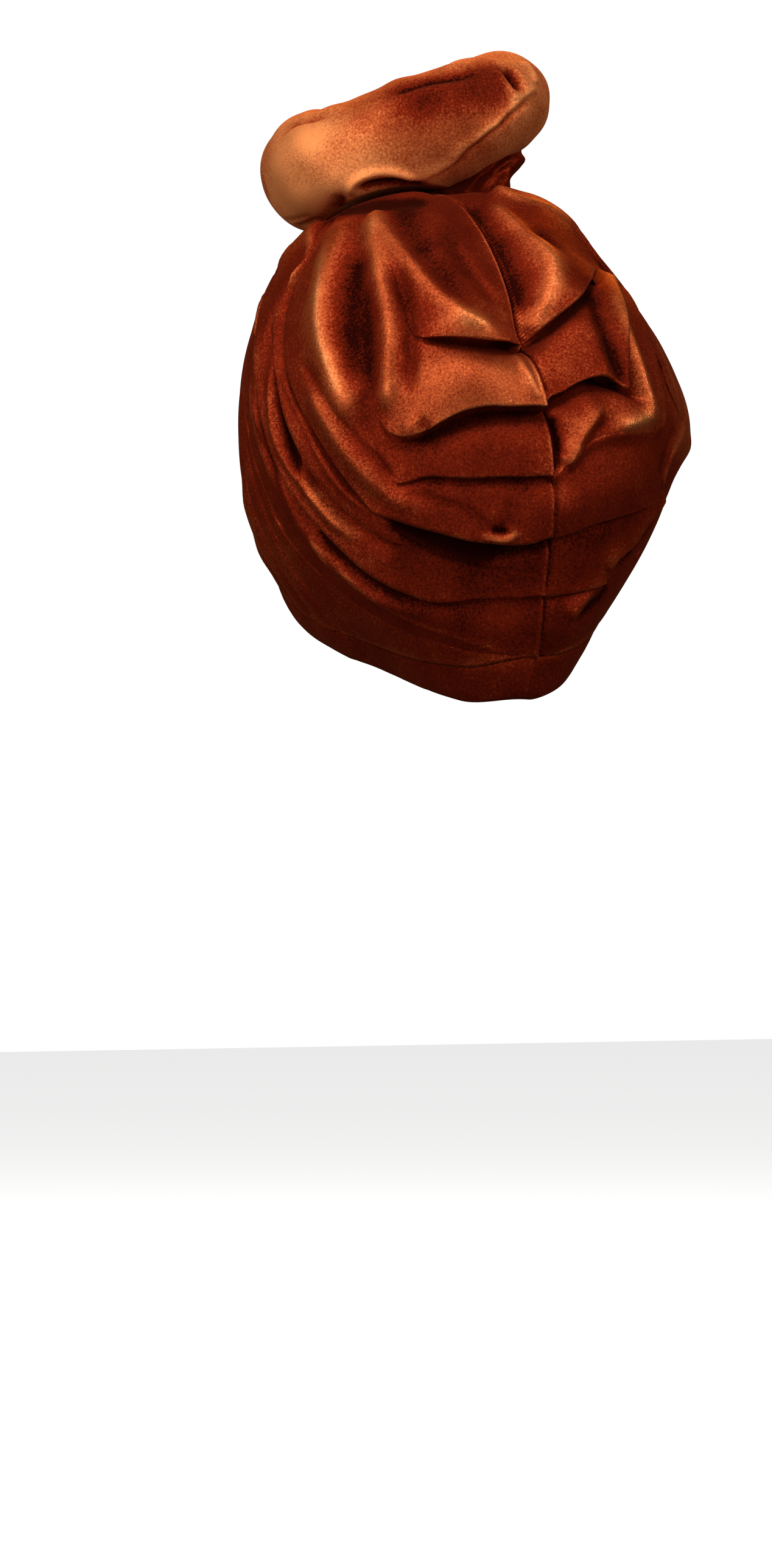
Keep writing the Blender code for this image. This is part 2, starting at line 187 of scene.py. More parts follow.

# Nap value, the pile's lean with painted light and shade, from 0, turned from the light and in
# painted shade, to 1, turned towards it and a painted highlight: the tone of the cloth faces, which
# is their own up to TONE_UNTIL of the run, and the painted highlights and shade added row by row
# round a lip, by heights in millimetres, at the rim's edge and beside the seam
NAP_AND_PAINTED_LIGHT_RANGE = (-0.3, 1.0)
PLAIN_NAP = 0.3
SIDE_TONE = 0.26
TONE_UNTIL = 0.34
TONE_FADE = 0.14
# Painted highlight on the rounded edge of a lip, row by row
LIP_HIGHLIGHT = [0.06, 0.18, 0.24, 0.18, 0.04] + [0.0] * 9
# Painted highlight on raised ridges and painted shade in valleys, by the height they add
RIDGE_PAINTED_LIGHT = 0.17
RIDGE_PAINTED_LIGHT_HEIGHT = 3.0
RIDGE_PAINTED_LIGHT_RANGE = (-1.2, 1.5)
# Painted shade in pockets and lighter lips, by the fold's height
FOLD_PAINTED_LIGHT = 0.04
FOLD_PAINTED_LIGHT_RANGE = (-6.0, 3.0)
WHOLE_NAP = -0.06
# Painted highlight along the panel's foot at the rim band, and how far up it reaches
EDGE_HIGHLIGHT = 0.14
EDGE_RISE = 0.012
# Painted highlight on the left panel's edge at the seam and painted shadow on the right panel's, where and
# how wide
SEAM_PAINTED_LIGHT = 0.20
SEAM_PAINTED_LIGHT_AT = 0.3
SEAM_PAINTED_LIGHT_WIDTH = 0.9
STRIP_NAP = 0.12
STITCH_NAP = 0.14
BAND_NAP = 0.25
STEM_NAP = 0.24
ROLL_NAP = 0.69
# Painted highlight on the ring's raised cloth and painted shade in its hollows, by height
ROLL_RIDGE_PAINTED_LIGHT = 0.08
ROLL_PAINTED_LIGHT_RANGE = (-3.0, 2.0)

# How finely a ridge's line is followed, and how many half widths it reaches
RIDGE_STEP = 0.001
RIDGE_REACH = 2.6

# Shares of the half width and the depths by elevation from the head's centre, and how square the
# back is, where 2 is an oval
SECTIONS = [
    ("elevation", "left", "right", "back", "front", "roundness"),
    (-65, 0.83, 0.76, 1.13, 1.04, 1.55),
    (-45, 0.885, 0.83, 1.09, 1.04, 1.70),
    (-30, 0.93, 0.89, 1.06, 1.02, 1.85),
    (-15, 0.96, 0.95, 1.035, 1.00, 2.00),
    (0, 0.975, 0.985, 1.00, 0.98, 2.00),
    (20, 0.995, 0.95, 0.955, 1.01, 2.00),
    (40, 1.02, 0.905, 0.93, 1.03, 2.00),
    (60, 1.01, 0.915, 0.93, 1.00, 2.00),
    (75, 0.97, 0.94, 0.945, 0.97, 2.00),
    (90, 0.93, 0.93, 0.93, 0.93, 2.00),
]

# Elevation of the rim on each side
RIM = [
    ("turn", "left", "right"),
    (0, -54.5, -54.5),
    (20, -61.0, -56.5),
    (40, -67.0, -59.5),
    (60, -69.0, -63.0),
    (80, -66.5, -63.5),
    (100, -61.5, -60.5),
    (120, -53.0, -53.0),
    (140, -39.0, -39.0),
    (160, -28.0, -28.0),
    (180, -24.0, -24.0),
]

# How far the centre back seam leans aside, in degrees, and the share of its pinch
SEAM = [
    ("elevation", "lean", "pinch"),
    (-60, 0.0, 0.05),
    (-35, 0.0, 0.15),
    (-15, 0.0, 0.00),
    (0, 1.0, 0.20),
    (9, 2.3, 0.60),
    (16, 3.2, 1.00),
    (24, 3.2, 0.80),
    (40, 2.6, 0.60),
    (60, 1.5, 0.35),
    (75, 0.5, 0.10),
    (90, 0.0, 0.00),
]

# A pleat's edge: pixels from the seam outward, then (turn, rise) stops out of the camera's
# sight, up to the knot. corner is the stop where the pleat turns up. Sizes are in millimetres:
# lip stands over the form, pocket goes under it, tuck is how far the cloth folds back under,
# carry is the height that both sides share, and puff is how far the cloth below swells. tone is
# the lean of the pile on the cloth that ends here, with the painted light and shade of that tier.
# opening says how far the lip is open at shares of the run, and it is closed at the knot.
Pleat = namedtuple("Pleat", "name corner lip pocket tuck carry puff tone pixels beyond opening")

LEFT_PLEATS = [
    # name, corner, lip, pocket, tuck, carry, puff, tone, then pixels, beyond and opening
    Pleat("crown", 5, 4.5, 6, 7, 0, 3, 0.30, [
        (850, 567), (800, 563), (760, 558), (720, 555), (692, 556), (674, 548), (664, 515), (655, 475),
        (640, 435), (622, 400), (612, 372)],
        [(44, KNOT_RISE)],
        [(0, 1), (0.08, 1), (0.2, 0.8), (0.3, 0.5), (0.38, 0.15), (0.42, 0)]),
    Pleat("upper", 8, 4, 6, 8, 0, 1, 0.44, [
        (884, 667), (838, 667), (800, 668), (760, 677), (725, 693), (700, 709), (672, 716), (650, 716),
        (630, 705), (618, 680), (612, 640), (610, 600), (609, 550), (608, 500), (606, 450), (603, 410),
        (600, 372)],
        [(49, KNOT_RISE)],
        [(0, 0.8), (0.1, 0.9), (0.2, 1), (0.3, 0.85), (0.38, 0.4), (0.44, 0)]),
    Pleat("middle", 7, 2, 1.5, 3, 0, 2, 0.22, [
        (903, 783), (860, 784), (820, 784), (780, 784), (740, 784), (700, 785), (672, 791), (650, 795),
        (632, 768), (618, 740), (608, 705), (603, 660), (601, 600), (601, 550), (600, 500), (598, 450),
        (595, 410), (590, 372)],
        [(54, KNOT_RISE)],
        [(0, 0.8), (0.05, 1), (0.3, 0.8), (0.42, 0.3), (0.5, 0)]),
    Pleat("deep", 8, 4.5, 8, 7, 0, 1, 0.17, [
        (907, 883), (870, 888), (840, 891), (800, 889), (760, 882), (720, 872), (680, 860), (645, 849),
        (612, 837), (585, 802), (556, 766), (530, 726), (508, 688), (491, 655), (479, 622), (472, 585),
        (470, 545), (476, 508), (489, 476), (503, 448), (520, 418), (538, 384), (556, 352)],
        [(66, KNOT_RISE)],
        [(0, 0.6), (0.05, 1), (0.36, 1), (0.44, 0.8), (0.6, 0.6), (0.8, 0.4)]),
    Pleat("fifth", 5, 2.5, 7.5, 5.5, 0, 0.5, 0.17, [
        (898, 932), (850, 936), (790, 930), (730, 915), (675, 900), (640, 890), (610, 875), (575, 845),
        (540, 808), (510, 770), (488, 731), (475, 695), (464, 655), (457, 610), (452, 570), (450, 535),
        (462, 505), (478, 475), (490, 455), (506, 428), (524, 390), (545, 352)],
        [(74, KNOT_RISE)],
        [(0, 0), (0.38, 0), (0.45, 0.7), (0.55, 1), (0.8, 1), (0.92, 0.5)]),
    Pleat("lower", 7, 4.4, 8, 6.5, 0, 1, 0.19, [
        (897, 978), (860, 981), (820, 983), (780, 986), (740, 987), (705, 983), (670, 970), (640, 955),
        (600, 930), (565, 897), (535, 865), (508, 835), (484, 803), (467, 768), (453, 733), (442, 697),
        (434, 660), (429, 625), (426, 590), (426, 555), (430, 520), (440, 488), (454, 460), (472, 430),
        (490, 400), (506, 372)],
        [(86, KNOT_RISE)],
        [(0, 0.25), (0.2, 0.25), (0.32, 0.8), (0.42, 1), (0.6, 1), (0.75, 0.8), (0.9, 0.4)]),
    Pleat("nape", 7, 1, 0.8, 1.2, 0, 0.8, 0.20, [
        (883, 1077), (840, 1076), (800, 1072), (750, 1063), (705, 1050), (660, 1034), (620, 1014),
        (580, 990), (545, 963), (510, 930), (482, 893), (460, 855), (440, 812), (424, 770), (413, 725)],
        [(94, 0.46), (98, 0.62), (100, 0.78), (101, KNOT_RISE)],
        [(0, 0.8), (0.2, 0.8), (0.5, 1), (0.8, 0.9)]),
]

RIGHT_PLEATS = [
    # name, corner, lip, pocket, tuck, carry, puff, tone, then pixels, beyond and opening
    Pleat("crown", 8, 3.5, 4.5, 5, 0, 3, 0.24, [
        (850, 567), (872, 555), (892, 540), (912, 524), (932, 509), (952, 491), (966, 470), (975, 452),
        (982, 444), (980, 434), (965, 420), (940, 402), (915, 386), (885, 366), (858, 350), (834, 334),
        (812, 318)],
        [(-8, KNOT_RISE)],
        [(0, 0.5), (0.06, 1), (0.3, 1), (0.38, 0.5), (0.43, 0.1), (0.48, 0)]),
    Pleat("upper", 8, 3, 9, 6, 0, 2, 0.26, [
        (884, 667), (902, 655), (922, 643), (945, 633), (968, 623), (988, 619), (1008, 626), (1024, 640),
        (1030, 640), (1027, 610), (1017, 570), (1006, 530), (999, 495), (998, 465), (1003, 446), (998, 428),
        (975, 408), (940, 386), (905, 364), (870, 344), (838, 324)],
        [(-18, KNOT_RISE)],
        [(0, 0.5), (0.06, 0.6), (0.2, 0.6), (0.3, 1), (0.4, 1), (0.46, 0.3), (0.52, 0)]),
    Pleat("middle", 9, 1, 1, 1.5, 2.5, 3, 0.30, [
        (903, 783), (915, 775), (928, 762), (943, 744), (962, 727), (985, 714), (1012, 708), (1045, 706),
        (1070, 703), (1086, 692), (1083, 660), (1075, 620), (1063, 575), (1048, 530), (1031, 490)],
        [(-44, 0.66), (-38, 0.76), (-32, KNOT_RISE)],
        [(0, 1), (0.1, 0.3), (0.3, 0)]),
    Pleat("deep", 6, 2, 2.5, 3, 1, 0.5, 0.19, [
        (907, 883), (940, 872), (975, 860), (1010, 849), (1045, 838), (1070, 823), (1083, 803), (1090, 770),
        (1100, 740), (1111, 706), (1102, 670), (1089, 635), (1078, 590), (1064, 545), (1046, 499)],
        [(-52, 0.70), (-50, 0.80), (-46, KNOT_RISE)],
        [(0, 1), (0.2, 0.7), (0.36, 0.7), (0.44, 0.3), (0.6, 0.25), (0.8, 0.2)]),
    Pleat("lower", 8, 1.8, 2, 3, 0.5, 2, 0.17, [
        (897, 978), (925, 974), (955, 967), (985, 955), (1010, 938), (1035, 915), (1058, 888), (1076, 864)],
        [(-70, 0.36), (-72, 0.52), (-70, 0.68), (-66, KNOT_RISE)],
        [(0, 1), (0.3, 0.8), (0.5, 1), (0.8, 0.4)]),
    Pleat("nape", 6, 1.8, 1.5, 2.5, 0, 1.5, 0.20, [
        (883, 1077), (905, 1073), (925, 1065), (945, 1054), (965, 1040), (982, 1022)],
        [(-62, 0.11), (-80, 0.26), (-88, 0.42), (-90, 0.60), (-88, KNOT_RISE)],
        [(0, 0.6), (0.3, 1), (0.8, 0.4)]),
]


def hidden_pleat(name, start, stops, top):
    """A plain pleat at the side or front, from the band up to the knot."""
    opening = [(0.0, 0.3), (0.2, 1.0), (0.6, 0.8), (0.85, 0.3)]
    beyond = [(start, 0.0)] + stops + [(top, KNOT_RISE)]
    return Pleat(name, 2, 1.6, 1.8, 2.5, 0.0, 2.2, 0.30, [], beyond, opening)


HIDDEN_PLEATS = [
    # name, start, stops, top
    ("ear", 78, [(83, 0.07), (90, 0.19), (101, 0.38), (108, 0.61)], 114),
    ("ear_front", 93, [(97, 0.08), (103, 0.20), (111, 0.39), (116, 0.61)], 120),
    ("cheek", 108, [(111, 0.09), (116, 0.22), (122, 0.40), (126, 0.62)], 128),
    ("temple", 124, [(127, 0.10), (130, 0.24), (134, 0.41), (137, 0.62)], 137),
    ("brow", 140, [(142, 0.10), (144, 0.24), (147, 0.42), (148, 0.63)], 148),
    ("front", 158, [(159, 0.10), (160, 0.24), (161, 0.42), (162, 0.63)], 162),
]

# A ridge of the cloth, or a valley where its height is below zero: height and half widths on the
# line's right and left hand in millimetres, the shares of its length that fade in and out, the
# painted light it adds to the cloth's colour (a painted highlight above zero, painted shade below),
# and its line's pixels
Ridge = namedtuple("Ridge", "name height right left fade_in fade_out shine pixels")

LEFT_RIDGES = [
    # name, height, right, left, fade_in, fade_out, painted light or shade, pixels
    ("patch_crest", 3.8, 5, 4.5, 0.1, 0.15, 0.1, [
        (618, 345), (628, 372), (645, 400), (668, 432), (694, 463), (724, 492), (760, 520), (800, 542),
        (842, 561)]),
    ("patch_middle", 0.6, 5, 5, 0.3, 0.3, 0, [(700, 335), (712, 375), (724, 415), (742, 455)]),
    ("patch_shade", 0, 7, 7, 0.1, 0.2, -0.20, [
        (655, 335), (672, 375), (695, 415), (725, 455), (765, 500), (800, 525)]),
    ("patch_valley", -1.8, 5, 4, 0.3, 0.2, 0, [(728, 370), (760, 425), (795, 475), (825, 520)]),
    ("crown_bulge", 0.8, 4, 4, 0.3, 0.2, 0.1, [(692, 530), (730, 532), (770, 541), (815, 553)]),
    ("second_crest", 3.2, 5, 4.5, 0.15, 0.1, 0.18, [
        (606, 350), (612, 400), (622, 440), (633, 490), (641, 540), (641, 590), (638, 640), (631, 690)]),
    ("second_shade", -0.8, 3, 3, 0.2, 0.2, -0.12, [
        (592, 690), (604, 650), (606, 600), (604, 550), (602, 500), (600, 450)]),
    ("crown_valley", -3.4, 4, 4, 0.2, 0.2, 0, [
        (640, 430), (656, 475), (664, 520), (669, 570), (668, 620), (664, 662)]),
    ("first_crest", 3.6, 10, 5.5, 0.15, 0.12, 0, [
        (580, 350), (565, 390), (548, 440), (539, 480), (536, 520), (542, 560), (554, 600), (569, 640),
        (584, 680), (595, 706)]),
    ("first_streak", 0.4, 3.2, 2.8, 0.2, 0.2, 0.32, [
        (546, 395), (535, 440), (529, 480), (528, 520), (536, 570), (552, 615), (570, 655), (587, 690)]),
    ("first_valley", -2.2, 6, 6, 0.2, 0.2, -0.14, [
        (594, 400), (580, 450), (574, 500), (576, 560), (584, 610), (594, 650)]),
    ("side_gap", -3, 1.6, 1.4, 0.1, 0.2, -0.4, [
        (450, 540), (450, 600), (456, 660), (470, 715), (490, 770), (505, 803)]),
    ("far_gap", -1.5, 1.6, 1.4, 0.2, 0.3, -0.25, [(470, 480), (452, 520), (443, 565)]),
    ("low_gap", -1.6, 1.4, 1.4, 0.2, 0.3, -0.22, [
        (420, 600), (422, 650), (432, 710), (448, 762), (470, 810)]),
    ("low_edge", 0.8, 1.4, 1.4, 0.2, 0.3, 0.14, [
        (412, 610), (415, 660), (425, 715), (441, 768), (462, 815)]),
    ("side_edge", 0.6, 1, 1, 0.2, 0.2, 0.18, [(444, 520), (446, 600), (454, 670), (470, 735)]),
    ("broad_streak", 0.6, 3.4, 3.4, 0.2, 0.3, 0.16, [
        (505, 790), (530, 822), (556, 850), (584, 874), (614, 892)]),
    ("deep_shade", -1.8, 3.4, 3, 0.15, 0.3, -0.45, [
        (628, 852), (665, 871), (705, 887), (750, 903), (795, 912), (838, 912)]),
    ("fifth_shade", -2.2, 3.6, 2.6, 0.2, 0.3, -0.50, [
        (516, 858), (543, 893), (580, 928), (616, 954), (652, 974), (692, 988)]),
    ("nape_edge", 0.3, 0.8, 0.8, 0.1, 0.1, 0.20, [
        (500, 852), (545, 912), (585, 957), (625, 990), (680, 1020), (740, 1042), (800, 1060),
        (860, 1073)]),
    ("upper_gap", -1.6, 1.8, 1.6, 0.3, 0.3, -0.2, [(500, 372), (482, 400), (468, 430), (458, 462)]),
    ("side_crest", 2.4, 6, 4.5, 0.2, 0.2, 0, [
        (700, 828), (655, 812), (615, 785), (585, 755), (560, 720), (538, 685), (520, 650), (506, 620)]),
    ("side_valley", -1.6, 2, 2.4, 0.1, 0.2, 0, [
        (652, 798), (638, 778), (612, 752), (588, 727), (560, 690), (530, 640), (508, 602), (497, 585)]),
    ("crescent", -1.2, 2.5, 2.5, 0.2, 0.05, 0, [
        (656, 800), (720, 822), (760, 835), (790, 850), (812, 866)]),
    ("dimple", -2.4, 1.4, 2.2, 0.3, 0.2, -0.2, [(800, 867), (822, 871), (840, 867)]),
    ("dimple_lip", 0.9, 1.2, 1.5, 0.3, 0.1, 0.36, [
        (784, 872), (806, 877), (826, 879), (844, 873), (852, 865)]),
    ("dimple_valley", -0.9, 3.5, 4.5, 0.1, 0.5, -0.08, [(832, 862), (836, 838), (840, 810)]),
    ("dimple_side", 0.7, 4, 4, 0.2, 0.5, 0.05, [(790, 862), (805, 840), (815, 815)]),
    ("fourth_crest", 1.7, 1.8, 2.4, 0.1, 0.15, 0, [
        (464, 590), (470, 625), (480, 655), (497, 690), (520, 735), (545, 775), (575, 812), (610, 841),
        (645, 864), (680, 884), (710, 900), (750, 915), (800, 924), (850, 927)]),
    ("fifth_crest", 1.8, 2, 2.4, 0.1, 0.15, 0, [
        (449, 530), (446, 580), (446, 620), (449, 665), (456, 705), (468, 740), (484, 770), (505, 800),
        (530, 830), (560, 862), (592, 886)]),
    ("sixth_crest", 1.8, 2, 2.6, 0.1, 0.2, 0, [
        (415, 640), (428, 700), (447, 755), (468, 808), (495, 860), (520, 893), (540, 918), (570, 945),
        (605, 972), (650, 998), (705, 1010)]),
    ("upper_streak", 1.6, 2, 2, 0.2, 0.2, 0.2, [(513, 375), (503, 415), (488, 455), (476, 486)]),
    ("lower_streak", 1.4, 2, 2, 0.2, 0.2, 0.2, [(440, 468), (430, 500), (424, 530), (420, 560)]),
    ("middle_streak", 0.6, 1.8, 1.8, 0.2, 0.3, 0.12, [(470, 720), (488, 762), (510, 800), (536, 835)]),
    # under_roll: painted shadow of the ring on the crown
    ("under_roll", -1.6, 5.5, 7, 0.15, 0.15, -0.55, [
        (515, 362), (556, 347), (606, 338), (656, 333), (712, 331)]),
    ("tongue", 1.2, 3, 3, 0.3, 0.3, -0.08, [(655, 706), (676, 700), (700, 690)]),
    ("tongue_notch", -1.4, 2, 2, 0.1, 0.5, -0.14, [(704, 706), (694, 694), (690, 680)]),
    ("seam_edge", 1.2, 2.5, 1.2, 0.1, 0.1, 0.14, [(846, 578), (862, 608), (874, 636), (881, 658)]),
    ("fold_streak", 0.8, 2, 2, 0.3, 0.3, 0.25, [(508, 880), (523, 898), (535, 915), (548, 932)]),
    ("shoulder", 2.6, 12, 12, 0.2, 0.4, 0, [(520, 330), (480, 370), (450, 420), (430, 470)]),
    ("lower_side", 1.6, 10, 10, 0.3, 0.3, 0, [(402, 780), (412, 840), (430, 900), (450, 950)]),
]

RIGHT_RIDGES = [
    # name, height, right, left, fade_in, fade_out, painted light or shade, pixels
    ("patch_crest", 3, 5, 5, 0.15, 0.05, 0.16, [
        (795, 335), (830, 362), (865, 392), (893, 425), (903, 460), (898, 485), (886, 512), (874, 535),
        (864, 553)]),
    ("patch_shade", -1.6, 6, 6, 0.1, 0.1, -0.24, [
        (760, 335), (790, 380), (820, 430), (843, 480), (853, 525)]),
    ("tip_shade", -1, 4, 4, 0.2, 0.3, -0.14, [
        (860, 370), (900, 395), (935, 425), (950, 455), (945, 480)]),
    ("long_crest", 3.8, 5, 4.5, 0.1, 0.15, 0.20, [
        (998, 452), (1008, 490), (1020, 530), (1034, 570), (1045, 605), (1053, 640), (1058, 668),
        (1050, 692)]),
    ("long_valley", -3, 4.5, 4, 0.2, 0.1, -0.18, [
        (976, 468), (976, 505), (988, 545), (1002, 585), (1015, 615), (1024, 638)]),
    ("side_streak", 0.3, 2, 2, 0.2, 0.2, 0.16, [
        (1066, 535), (1084, 580), (1097, 620), (1106, 665), (1110, 696)]),
    ("elbow_edge", 1.2, 1.1, 5, 0.1, 0.1, 0.10, [
        (1110, 694), (1102, 725), (1093, 755), (1083, 785), (1083, 806)]),
    ("elbow_groove", -0.8, 4, 1.2, 0.1, 0.1, -0.12, [
        (1101, 700), (1093, 730), (1084, 758), (1074, 785)]),
    ("shelf_streak", 0.5, 2.2, 3, 0.3, 0.3, 0.34, [
        (1002, 690), (1022, 696), (1045, 691), (1064, 678)]),
    ("cone_left", -1, 3.5, 3.5, 0.2, 0.2, -0.20, [(900, 680), (908, 705), (914, 730), (917, 752)]),
    ("cone_right", -1, 3, 3, 0.2, 0.3, -0.18, [(948, 742), (968, 712), (988, 690), (998, 672)]),
    ("cone_crest", 3, 4, 3, 0.1, 0.3, 0, [
        (922, 764), (935, 738), (955, 708), (975, 675), (985, 650)]),
    ("cone_valley", -2.6, 2.6, 3, 0.1, 0.3, 0, [(915, 770), (916, 735), (914, 705), (905, 680)]),
    ("shelf_crest", 1.6, 3.5, 5, 0.3, 0.3, 0, [
        (1005, 697), (1035, 695), (1062, 688), (1078, 676)]),
    ("side_step", 2.8, 7, 1, 0.05, 0.1, 0.04, [
        (1085, 818), (1070, 840), (1052, 865), (1038, 885), (1020, 905), (1005, 920), (997, 935),
        (996, 945)]),
    ("side_groove", -1.8, 1.4, 2.8, 0.1, 0.1, -0.34, [
        (1088, 826), (1072, 850), (1050, 878), (1032, 900), (1012, 918), (1003, 936)]),
    ("nape_groove", -1.2, 1.3, 2.6, 0.1, 0.2, -0.28, [
        (1000, 956), (985, 974), (967, 990), (952, 1006), (942, 1024)]),
    ("nape_step", 2, 6, 1.1, 0.05, 0.2, 0.04, [
        (992, 952), (975, 970), (957, 986), (942, 1002), (932, 1022)]),
    ("slit", -2.6, 1.3, 1.8, 0.1, 0.1, -0.25, [(860, 580), (870, 605), (880, 630), (888, 652)]),
    ("slit_lip", 0.8, 1.2, 1.8, 0.2, 0.2, 0.14, [(872, 578), (880, 603), (889, 628), (894, 650)]),
    ("low_slit", -1.6, 1.5, 1.5, 0.1, 0.1, -0.2, [(902, 680), (910, 710), (912, 740), (910, 775)]),
    ("crown_side", 4.2, 14, 16, 0.1, 0.5, 0, [
        (800, 305), (850, 316), (900, 342), (945, 378), (990, 430)]),
    ("top_streak", 1, 2.2, 2.2, 0.2, 0.3, 0.20, [(800, 308), (850, 335), (900, 358), (945, 385)]),
    ("hook_shade", 0, 3.5, 3.5, 0.3, 0.3, -0.26, [(978, 428), (992, 434), (1004, 444)]),
]

# Where the right side's cloth stands out: elevation from the head's centre, height in millimetres
ELBOW = [
    ("elevation", "height"),
    (-20, 0.0),
    (-15, 0.6),
    (-11, 3.0),
    (-6.5, 6.2),
    (-2, 5.6),
    (8, 3.6),
    (18, 1.8),
    (30, 0.6),
    (42, 0.0),
]
ELBOW_TURN = -74.0
ELBOW_WIDTH = 24.0

# The rim band: its section, what stands out beside its seam, and slow waves along it
BAND_TURNS = 540
BAND_PROFILE = [
    # share of the width below the top edge, height in millimetres
    (-0.05, -2.6), (-0.04, -0.6), (0.00, 0.2), (0.06, 0.5), (0.14, 0.75), (0.3, 0.95), (0.5, 1.05),
    (0.7, 1.0), (0.86, 0.85), (0.95, 0.5), (1.0, -0.3), (1.01, -1.3), (0.98, -2.3), (0.9, -2.8),
    (0.7, -3.0), (0.4, -3.0), (0.1, -3.0),
]
BAND_SEAM = [
    # height in millimetres, turn, half width in turn
    (-0.9, -0.6, 0.8),
    (0.5, 1.0, 1.0),
]
BAND_WAVES = [
    # height in millimetres, waves round the head, phase in degrees
    (0.18, 9, 0),
    (0.12, 23, 40),
]


def smooth(places, table, column, level_ends=False):
    """Value of one named column at each place, along a smooth curve through the table's rows."""
    names, *rows = table
    rows = np.asarray(rows, float)
    keys = rows[:, 0]
    values = rows[:, names.index(column)]
    slopes = np.gradient(values, keys)
    if level_ends:
        slopes[[0, -1]] = 0.0
    places = np.clip(places, keys[0], keys[-1])
    index = np.clip(np.searchsorted(keys, places, side="right") - 1, 0, len(keys) - 2)
    span = keys[index + 1] - keys[index]
    part = (places - keys[index]) / span
    first = (2 * part**3 - 3 * part**2 + 1) * values[index]
    first += (part**3 - 2 * part**2 + part) * span * slopes[index]
    last = (3 * part**2 - 2 * part**3) * values[index + 1]
    last += (part**3 - part**2) * span * slopes[index + 1]
    return first + last


def ease(value):
    value = np.clip(value, 0.0, 1.0)
    return value * value * (3.0 - 2.0 * value)


def bell(value, middle, width):
    return np.exp(-(((value - middle) / width) ** 2))


def run_along(points):
    """Distance along a line of points from its first to each."""
    return np.concatenate([[0.0], np.cumsum(np.linalg.norm(np.diff(points, axis=0), axis=1))])


def round_trip(start, count):
    """Even steps of a whole turn, in degrees."""
    return np.linspace(start, start + 360.0, count + 1)[:-1]


def level_axes(turn):
    """Right, forward and up of a level look from behind, turned by some degrees."""
    turn = math.radians(turn)
    right = np.array([-math.cos(turn), math.sin(turn), 0.0])
    forward = np.array([-math.sin(turn), -math.cos(turn), 0.0])
    return right, forward, np.array([0.0, 0.0, 1.0])


def heading(turn, elevation):
    """Unit direction from the head's centre; the pole leans forward to the knot."""
    lean = smooth(elevation, SEAM, "lean") * (0.5 + 0.5 * np.cos(np.radians(turn))) ** 2
    around = np.radians(turn + lean)
    up = np.radians(elevation)
    tilt = np.radians(KNOT_TILT) * ease((elevation - KNOT_TILT_FROM) / (90.0 - KNOT_TILT_FROM))
    x = np.sin(around) * np.cos(up)
    y = np.cos(around) * np.cos(up)
    z = np.sin(up)
    y, z = y * np.cos(tilt) - z * np.sin(tilt), y * np.sin(tilt) + z * np.cos(tilt)
    side = tilt * KNOT_SIDE / KNOT_TILT
    return np.stack([x * np.cos(side) + z * np.sin(side), y, z * np.cos(side) - x * np.sin(side)], -1)


def form_radius(direction):
    """Distance from the head's centre to the plain form in each direction."""
    elevation = np.degrees(np.arcsin(np.clip(direction[..., 2], -1.0, 1.0)))
    level = np.maximum(np.hypot(direction[..., 0], direction[..., 1]), 1e-9)
    sideways = direction[..., 0] / level
    backward = direction[..., 1] / level
    height = np.where(direction[..., 2] > 0, CROWN_HEIGHT, NAPE_DEPTH)
    depth = np.where(backward > 0, BACK_DEPTH, FRONT_DEPTH)
    share = {name: smooth(elevation, SECTIONS, name) for name in SECTIONS[0][1:]}
    side_share = np.where(sideways > 0, share["left"], share["right"])
    depth_share = np.where(backward > 0, share["back"], share["front"])
    power = np.where(backward > 0, share["roundness"], OVAL)
    rise = direction[..., 2] / height
    side_radius = side_share / np.sqrt((level / HALF_WIDTH) ** 2 + rise**2)
    depth_radius = depth_share / np.sqrt((level / depth) ** 2 + rise**2)
    total = (np.abs(sideways) / side_radius) ** power + (np.abs(backward) / depth_radius) ** power
    return total ** (-1.0 / power)


def rim_elevation(turn):
    left = smooth(np.abs(turn), RIM, "left", level_ends=True)
    right = smooth(np.abs(turn), RIM, "right", level_ends=True)
    return np.where(turn > 0, left, right)


def band_elevation(turn):
    """Elevation of the band's top edge, one band width above the rim."""
    rim = rim_elevation(turn)
    return rim + np.degrees(BAND_WIDTH / form_radius(heading(turn, rim)))


def place(turn, elevation, height):
    """World point at a height above the plain form."""
    direction = heading(turn, elevation)
    pinch = SEAM_PINCH * smooth(elevation, SEAM, "pinch") * bell(turn, 0.0, SEAM_PINCH_TURN)
    distance = form_radius(direction) - pinch + height
    return direction * distance[..., None] + CENTRE


def panel_point(turn, rise, height):
    edge = band_elevation(turn)
    return place(turn, edge + (90.0 - edge) * rise, height)


def camera_axes():
    """The photograph's camera: where it stands, its forward, right and up."""
    right, forward, up = level_axes(VIEW_TURN)
    aside = (HEAD_PIXEL[0] - PHOTO_SIZE[0] / 2) / PIXELS_PER_METRE
    below = (HEAD_PIXEL[1] - PHOTO_SIZE[1] / 2) / PIXELS_PER_METRE
    target = CENTRE - right * aside + up * below
    return target - forward * VIEW_DISTANCE, forward, right, up


def pixel_of(points):
    """Where world points fall in the photograph."""
    eye, forward, right, up = camera_axes()
    ray = points - eye
    depth = ray @ forward
    scale = PIXELS_PER_METRE * VIEW_DISTANCE
    across = ray @ right / depth * scale + PHOTO_SIZE[0] / 2
    down = PHOTO_SIZE[1] / 2 - ray @ up / depth * scale
    return np.stack([across, down], -1)


def grid_normals(points):
    """Outward unit normals of a grid of points round a middle."""
    normal = np.cross(np.gradient(points, axis=0), np.gradient(points, axis=1))
    normal /= np.linalg.norm(normal, axis=-1, keepdims=True) + 1e-12
    return normal


